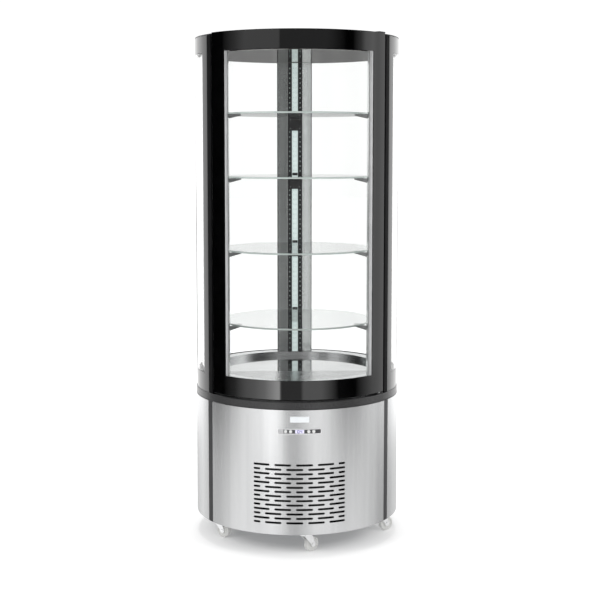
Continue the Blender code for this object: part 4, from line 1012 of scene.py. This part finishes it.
outline = plan_arc(-lid_edge, lid_edge, lid_front, 74, lid_low)
outline += plan_arc(lid_edge, 360.0 - lid_edge, lid_back, 166, lid_low)
lid = soften(raised("black_lid", outline, (0.0, 0.0, lid_high - lid_low)), 0.0008)
fit(lid, satin_black, "top_lid", slot="black_painted")
screws = spread(
    turned("lid_screws", screw_section, 20),
    [Matrix.Translation(polar(22.5 + 45.0 * number, 0.302, lid_high)) for number in range(8)],
)
fit(smooth(screws), rivet_bright)


# Door: one curved sealed unit, clear in the middle with a black printed band round it.
# Its edge frame sits between the sheets, and a pale bellows seal with a magnet is fixed behind it.

door_half = 54.59
door_low, door_high = 0.5196, 1.7032
door_borders = (0.0621, 0.0621, 0.0627, 0.0619)
frame_width = 0.0296
hinge_angle = 52.5
pin_radius, pin_depth = 0.0034, 0.0146
gasket_half, gasket_width, gasket_radius = 49.1, 0.012, 0.322
seal_low, seal_high = 0.5466, 1.6762

made = glass_sheet("door_outer_sheet", outer_sheet, -door_half, door_half, door_low, door_high, door_borders)
fit(made, glass_face, "door_outer_glass", body="door", slot="printed_glass")
made = glass_sheet("door_inner_sheet", inner_sheet, -door_half, door_half, door_low, door_high)
fit(made, glass_face, "door_inner_glass", body="door", slot="clear_glass")
made = framed(
    "door_spacer", -door_half + 0.1, door_half - 0.1, door_low + 0.0006, door_high - 0.0006, spacer_depth,
    spacer_middle, frame_width, frame_width,
)
pivot = Matrix.Translation(polar(hinge_angle, spacer_middle))
bores = []
for low, high in ((door_low - 0.01, door_low + pin_depth), (door_high - pin_depth, door_high + 0.01)):
    bore = turned("bore", square(0.0, pin_radius, low, high), 24)
    bore.data.transform(pivot)
    bores.append(bore)
made = smooth(punch(made, *bores), 30.0)
fit(made, spacer_dark, "door_edge_frame", body="door", slot="spacer_black")

seal_grey = finish(
    "pale_seal", 30.0, (0.68, 0.68, 0.69), (0.76, 0.76, 0.77), 700.0, (0.5, 0.66), (0.0001, 0.3),
    Specular_IOR_Level=0.35,
)
folds = []
for near, far, inset in (
    (0.3229, 0.3256, 0.0), (0.3213, 0.3229, 0.0034), (0.3199, 0.3213, 0.0012), (0.3186, 0.3199, 0.0034),
    (0.3154, 0.3186, 0.0006),
):
    width = gasket_width - 2.0 * inset
    half = gasket_half - math.degrees(inset / gasket_radius)
    fold = framed(
        "door_bellows_seal", -half, half, seal_low + inset, seal_high - inset, (near, far), gasket_radius,
        width, width,
    )
    folds.append(soften(fold, 0.0005))
fit(weld(*folds), seal_grey, "door_gasket", body="door", slot="gasket_grey")


# Hinges: black plates with bright steel pins that stand in the door's edge frame, one on the ring under
# the door and one on the lid over it.

hinge_half = 0.5 * math.degrees(0.034 / spacer_middle)
hinge_outside = 0.345
lower_pin = [
    (0.0, 0.515), (0.006, 0.515), (0.006, 0.519), (0.0057, 0.5193), (0.003, 0.5193),
    (0.003, 0.5326), (0.0024, 0.5334), (0.0, 0.5335),
]
upper_pin = [(0.0, 1.6893), (0.0024, 1.6893), (0.003, 1.69), (0.003, 1.705), (0.0, 1.705)]


def hinge_part(name, section, half, width, segments):
    return soften(swept(name, section, hinge_angle - half, hinge_angle + half, 0.7), width, segments)


lower = hinge_part("lower_hinge_plate", square(0.327, hinge_outside, 0.5129, 0.5159), hinge_half, 0.0006, 2)
upper = weld(
    hinge_part("upper_hinge_plate", square(0.2955, hinge_outside, 1.7035, 1.7065), hinge_half, 0.0006, 2),
    hinge_part("foot", square(0.297, 0.316, 1.7005, 1.7045), hinge_half - 0.26, 0.0004, 1),
)
for side, plate, section in (("lower", lower, lower_pin), ("upper", upper, upper_pin)):
    fit(plate, satin_black, f"{side}_hinge", slot="hinge_steel")
    made = turned(f"{side}_hinge_pin", section, 32)
    made.data.transform(pivot)
    fit(smooth(made), bright_plate)


# Cooling machinery in the base: compressor, finned condenser with its fan behind the louvres, and
# the finned evaporator with its fan in the well. Bought-in parts, bolted to the plate and the liner.

enamel = finish(
    "compressor_enamel", 20.0, (0.014, 0.014, 0.015), (0.024, 0.024, 0.025), 300.0, (0.28, 0.42),
    Coat_Weight=0.4, Coat_Roughness=0.1,
)
fins = finish(
    "bare_fins", 60.0, (0.52, 0.53, 0.54), (0.62, 0.63, 0.64), 400.0, (0.32, 0.48), Metallic=1.0
)
fan_black = finish(
    "moulded_black", 70.0, (0.03, 0.03, 0.031), (0.044, 0.044, 0.045), 500.0, (0.38, 0.52),
    Specular_IOR_Level=0.5,
)
coat(enamel, "compressor", "condenser")
coat(fins, "evaporator")
coat(zinc, "condenser_fan_motor", "evaporator_fan_motor")
coat(fan_black, "condenser_fan", "evaporator_fan")


# Pale floor, soft lamps and a studio with bright and dark zones, which gloss and metal mirror. The floor and
# the background are white to the eye and through glass, and the camera stands as in the picture.

floor_reach = 6.0
# Lift of the floor for camera and transmission rays by distance from the axis: none under the case, so round
# the case the lamps' real shadow is shaped and deepened by painted shadow.
floor_lift_painted_shadow = ((0.22, 0.0), (0.32, 0.24), (0.5, 0.28), (floor_reach, 0.5))

unselect()
bpy.ops.mesh.primitive_plane_add(size=60.0, location=(0.0, 0.0, 0.0))
ground = bpy.context.object
ground.name = "studio_floor"
bpy.ops.object.mode_set(mode="EDIT")
bpy.ops.mesh.subdivide(number_cuts=3)
bpy.ops.object.mode_set(mode="OBJECT")
pale = finish(
    "pale_floor", 3.0, (0.945, 0.945, 0.945), (0.955, 0.955, 0.955), Roughness=0.9, Specular_IOR_Level=0.1
)
tree = pale.node_tree
rays = wire(tree, "LightPath", {}).node.outputs
straight = wire(tree, "Math", {0: rays["Is Camera Ray"], 1: rays["Is Transmission Ray"]}, operation="MAXIMUM")
away = wire(tree, "VectorMath", {0: wire(tree, "TexCoord", {}, "Object")}, "Value", operation="LENGTH")
away = wire(tree, "MapRange", {"Value": away, "From Max": floor_reach})
# This ramp is the painted shadow: the floor is lifted to white away from the case and left unlifted beneath
# it.
painted_shadow_lift = ramped(tree, away, [(radius / floor_reach, (level, level, level)) for radius, level in floor_lift_painted_shadow])
share = wire(tree, "Math", {0: straight, 1: painted_shadow_lift}, operation="MULTIPLY")
both = wire(tree, "AddShader", {
    0: tree.nodes["Principled BSDF"].outputs["BSDF"], 1: wire(tree, "Emission", {"Strength": share}),
})
mirrored = wire(tree, "Math", {0: rays["Glossy Depth"], 1: 0.5}, operation="GREATER_THAN")
chosen = wire(tree, "MixShader", {"Fac": mirrored, 1: both, 2: wire(tree, "BsdfTransparent", {})})
tree.links.new(chosen, tree.nodes["Material Output"].inputs["Surface"])
ground.data.materials.append(pale)
ground.visible_glossy = False

world = bpy.data.worlds.new("studio")
bpy.context.scene.world = world
world.use_nodes = True
world.cycles.sampling_method = "NONE"
tree = world.node_tree
aim = wire(tree, "SeparateXYZ", {"Vector": wire(tree, "TexCoord", {}, "Generated")}).node.outputs
back = wire(tree, "Math", {0: aim["Y"], 1: -1.0}, operation="MULTIPLY")
around = wire(tree, "Math", {0: aim["X"], 1: back}, operation="ARCTAN2")
turn = wire(tree, "MapRange", {"Value": around, "From Min": -math.pi, "From Max": math.pi})

# Brightness of the studio by plan angle: down at the floor, where the door's lower border looks, just below
# the horizon and above it.
floor_zones = (
    (-180, 0.8), (-155, 0.66), (-135, 1.1), (-118, 0.6), (-95, 0.66), (-76, 1.15), (-42, 0.84), (-25, 1.04),
    (-18, 0.94), (-10, 0.48), (4, 0.42), (12, 0.98), (28, 0.97), (42, 0.96), (49, 0.88), (54, 0.9), (62, 1.0),
    (84, 0.84), (100, 0.58), (114, 0.28), (127, 0.58), (145, 0.8), (165, 0.72), (180, 0.8),
)
border_zones = (
    (-180, 0.95), (-162, 1.5), (-140, 1.6), (-124, 1.3), (-118, 0.0), (-93, 0.0), (-76, 0.25), (-61, 1.0),
    (-50, 1.3), (-38, 1.9), (-30, 3.0), (-24, 3.9), (-20.5, 3.9), (-19.5, 0.38), (3, 0.4), (6, 1.25),
    (26, 1.25), (46, 0.03), (68, 0.0), (78, 0.3), (93, 0.75), (118, 0.95), (140, 1.7), (162, 1.5), (180, 0.95),
)
low_zones = (
    (-180, 0.18), (-170, 0.18), (-162, 1.5), (-140, 1.6), (-124, 1.3), (-118, 0.0), (-93, 0.0), (-76, 0.25),
    (-61, 0.9), (-45, 0.8), (-24, 1.5), (-20.5, 1.5), (-19.5, 0.38), (3, 0.4), (6, 1.25), (28, 1.25),
    (50, 0.05), (66, 0.0), (75, 0.35), (81, 1.0), (92, 1.15), (100, 0.88), (118, 0.92), (130, 1.7), (148, 1.8),
    (162, 1.5), (170, 0.18), (180, 0.18),
)
high_zones = (
    (-180, 0.95), (-172, 0.95), (-162, 1.5), (-140, 1.6), (-124, 1.3), (-118, 0.0), (-93, 0.0), (-75, 0.35),
    (-61, 0.78), (-21.2, 0.78), (-20.2, 0.27), (32, 0.27), (55, 0.0), (63, 0.0), (74, 0.4), (81, 1.05),
    (92, 1.2), (100, 0.88), (118, 0.92), (130, 1.7), (148, 1.8), (162, 1.5), (172, 0.95), (180, 0.95),
)
studio_strength = 4.0
through_glass, on_matt = 0.265, 0.15


def around_studio(zones):
    """The brightness of a row of zones, by plan angle."""
    levels = [((angle + 180.0) / 360.0, (level / studio_strength,) * 3) for angle, level in zones]
    return ramped(tree, turn, levels)


def blended(share, first, second):
    return wire(tree, "MixRGB", {"Fac": share, "Color1": first, "Color2": second})


zone = around_studio(floor_zones)
for zones, start, end in (
    (border_zones, -0.23, -0.208), (low_zones, -0.185, -0.165), (high_zones, -0.06, 0.0)
):
    height = wire(tree, "MapRange", {"Value": aim["Z"], "From Min": start, "From Max": end})
    zone = blended(height, zone, around_studio(zones))
rays = wire(tree, "LightPath", {}).node.outputs
glossy, diffuse = (
    wire(tree, "Math", {0: rays[depth], 1: 0.5}, operation="GREATER_THAN")
    for depth in ("Glossy Depth", "Diffuse Depth")
)
seen = blended(glossy, (through_glass, through_glass, through_glass, 1.0), zone)
seen = blended(diffuse, seen, (on_matt, on_matt, on_matt, 1.0))
background = tree.nodes["Background"].inputs
tree.links.new(seen, background["Color"])
background["Strength"].default_value = studio_strength

# Large soft lamps that look at the middle of the case.
case_middle = Vector((0.0, 0.0, 0.85))
for name, place, size, power in (
    ("left_box", (-3.2, -2.6, 2.6), (1.6, 2.4), 50.0), ("right_box", (3.4, -2.2, 2.4), (1.6, 2.4), 42.0),
    ("top_box", (0.0, 0.3, 4.6), (1.5, 1.5), 110.0),
):
    lamp = bpy.data.lights.new(name, "AREA")
    lamp.shape = "RECTANGLE"
    lamp.size, lamp.size_y = size
    lamp.energy = power
    made = bpy.data.objects.new(name, lamp)
    bpy.context.collection.objects.link(made)
    made.location = place
    made.rotation_euler = (case_middle - Vector(place)).to_track_quat("-Z", "Y").to_euler()
    made.visible_camera = False
    made.visible_glossy = False
    made.visible_transmission = False

distance = 4.25
eye_height = 1.3233
swing = math.radians(1.5)
pitch = math.radians(5.35)
camera = bpy.data.cameras.new("camera")
camera.lens = 75.13
camera.sensor_width = 36.0
camera.shift_x = -0.004
camera.shift_y = -0.05
camera.clip_end = 100.0
eye = bpy.data.objects.new("camera", camera)
bpy.context.collection.objects.link(eye)
eye.location = (-distance * math.sin(swing), -distance * math.cos(swing), eye_height)
eye.rotation_euler = (math.pi / 2.0 - pitch, 0.0, -swing)
bpy.context.scene.camera = eye
bpy.context.scene.view_settings.view_transform = "Standard"
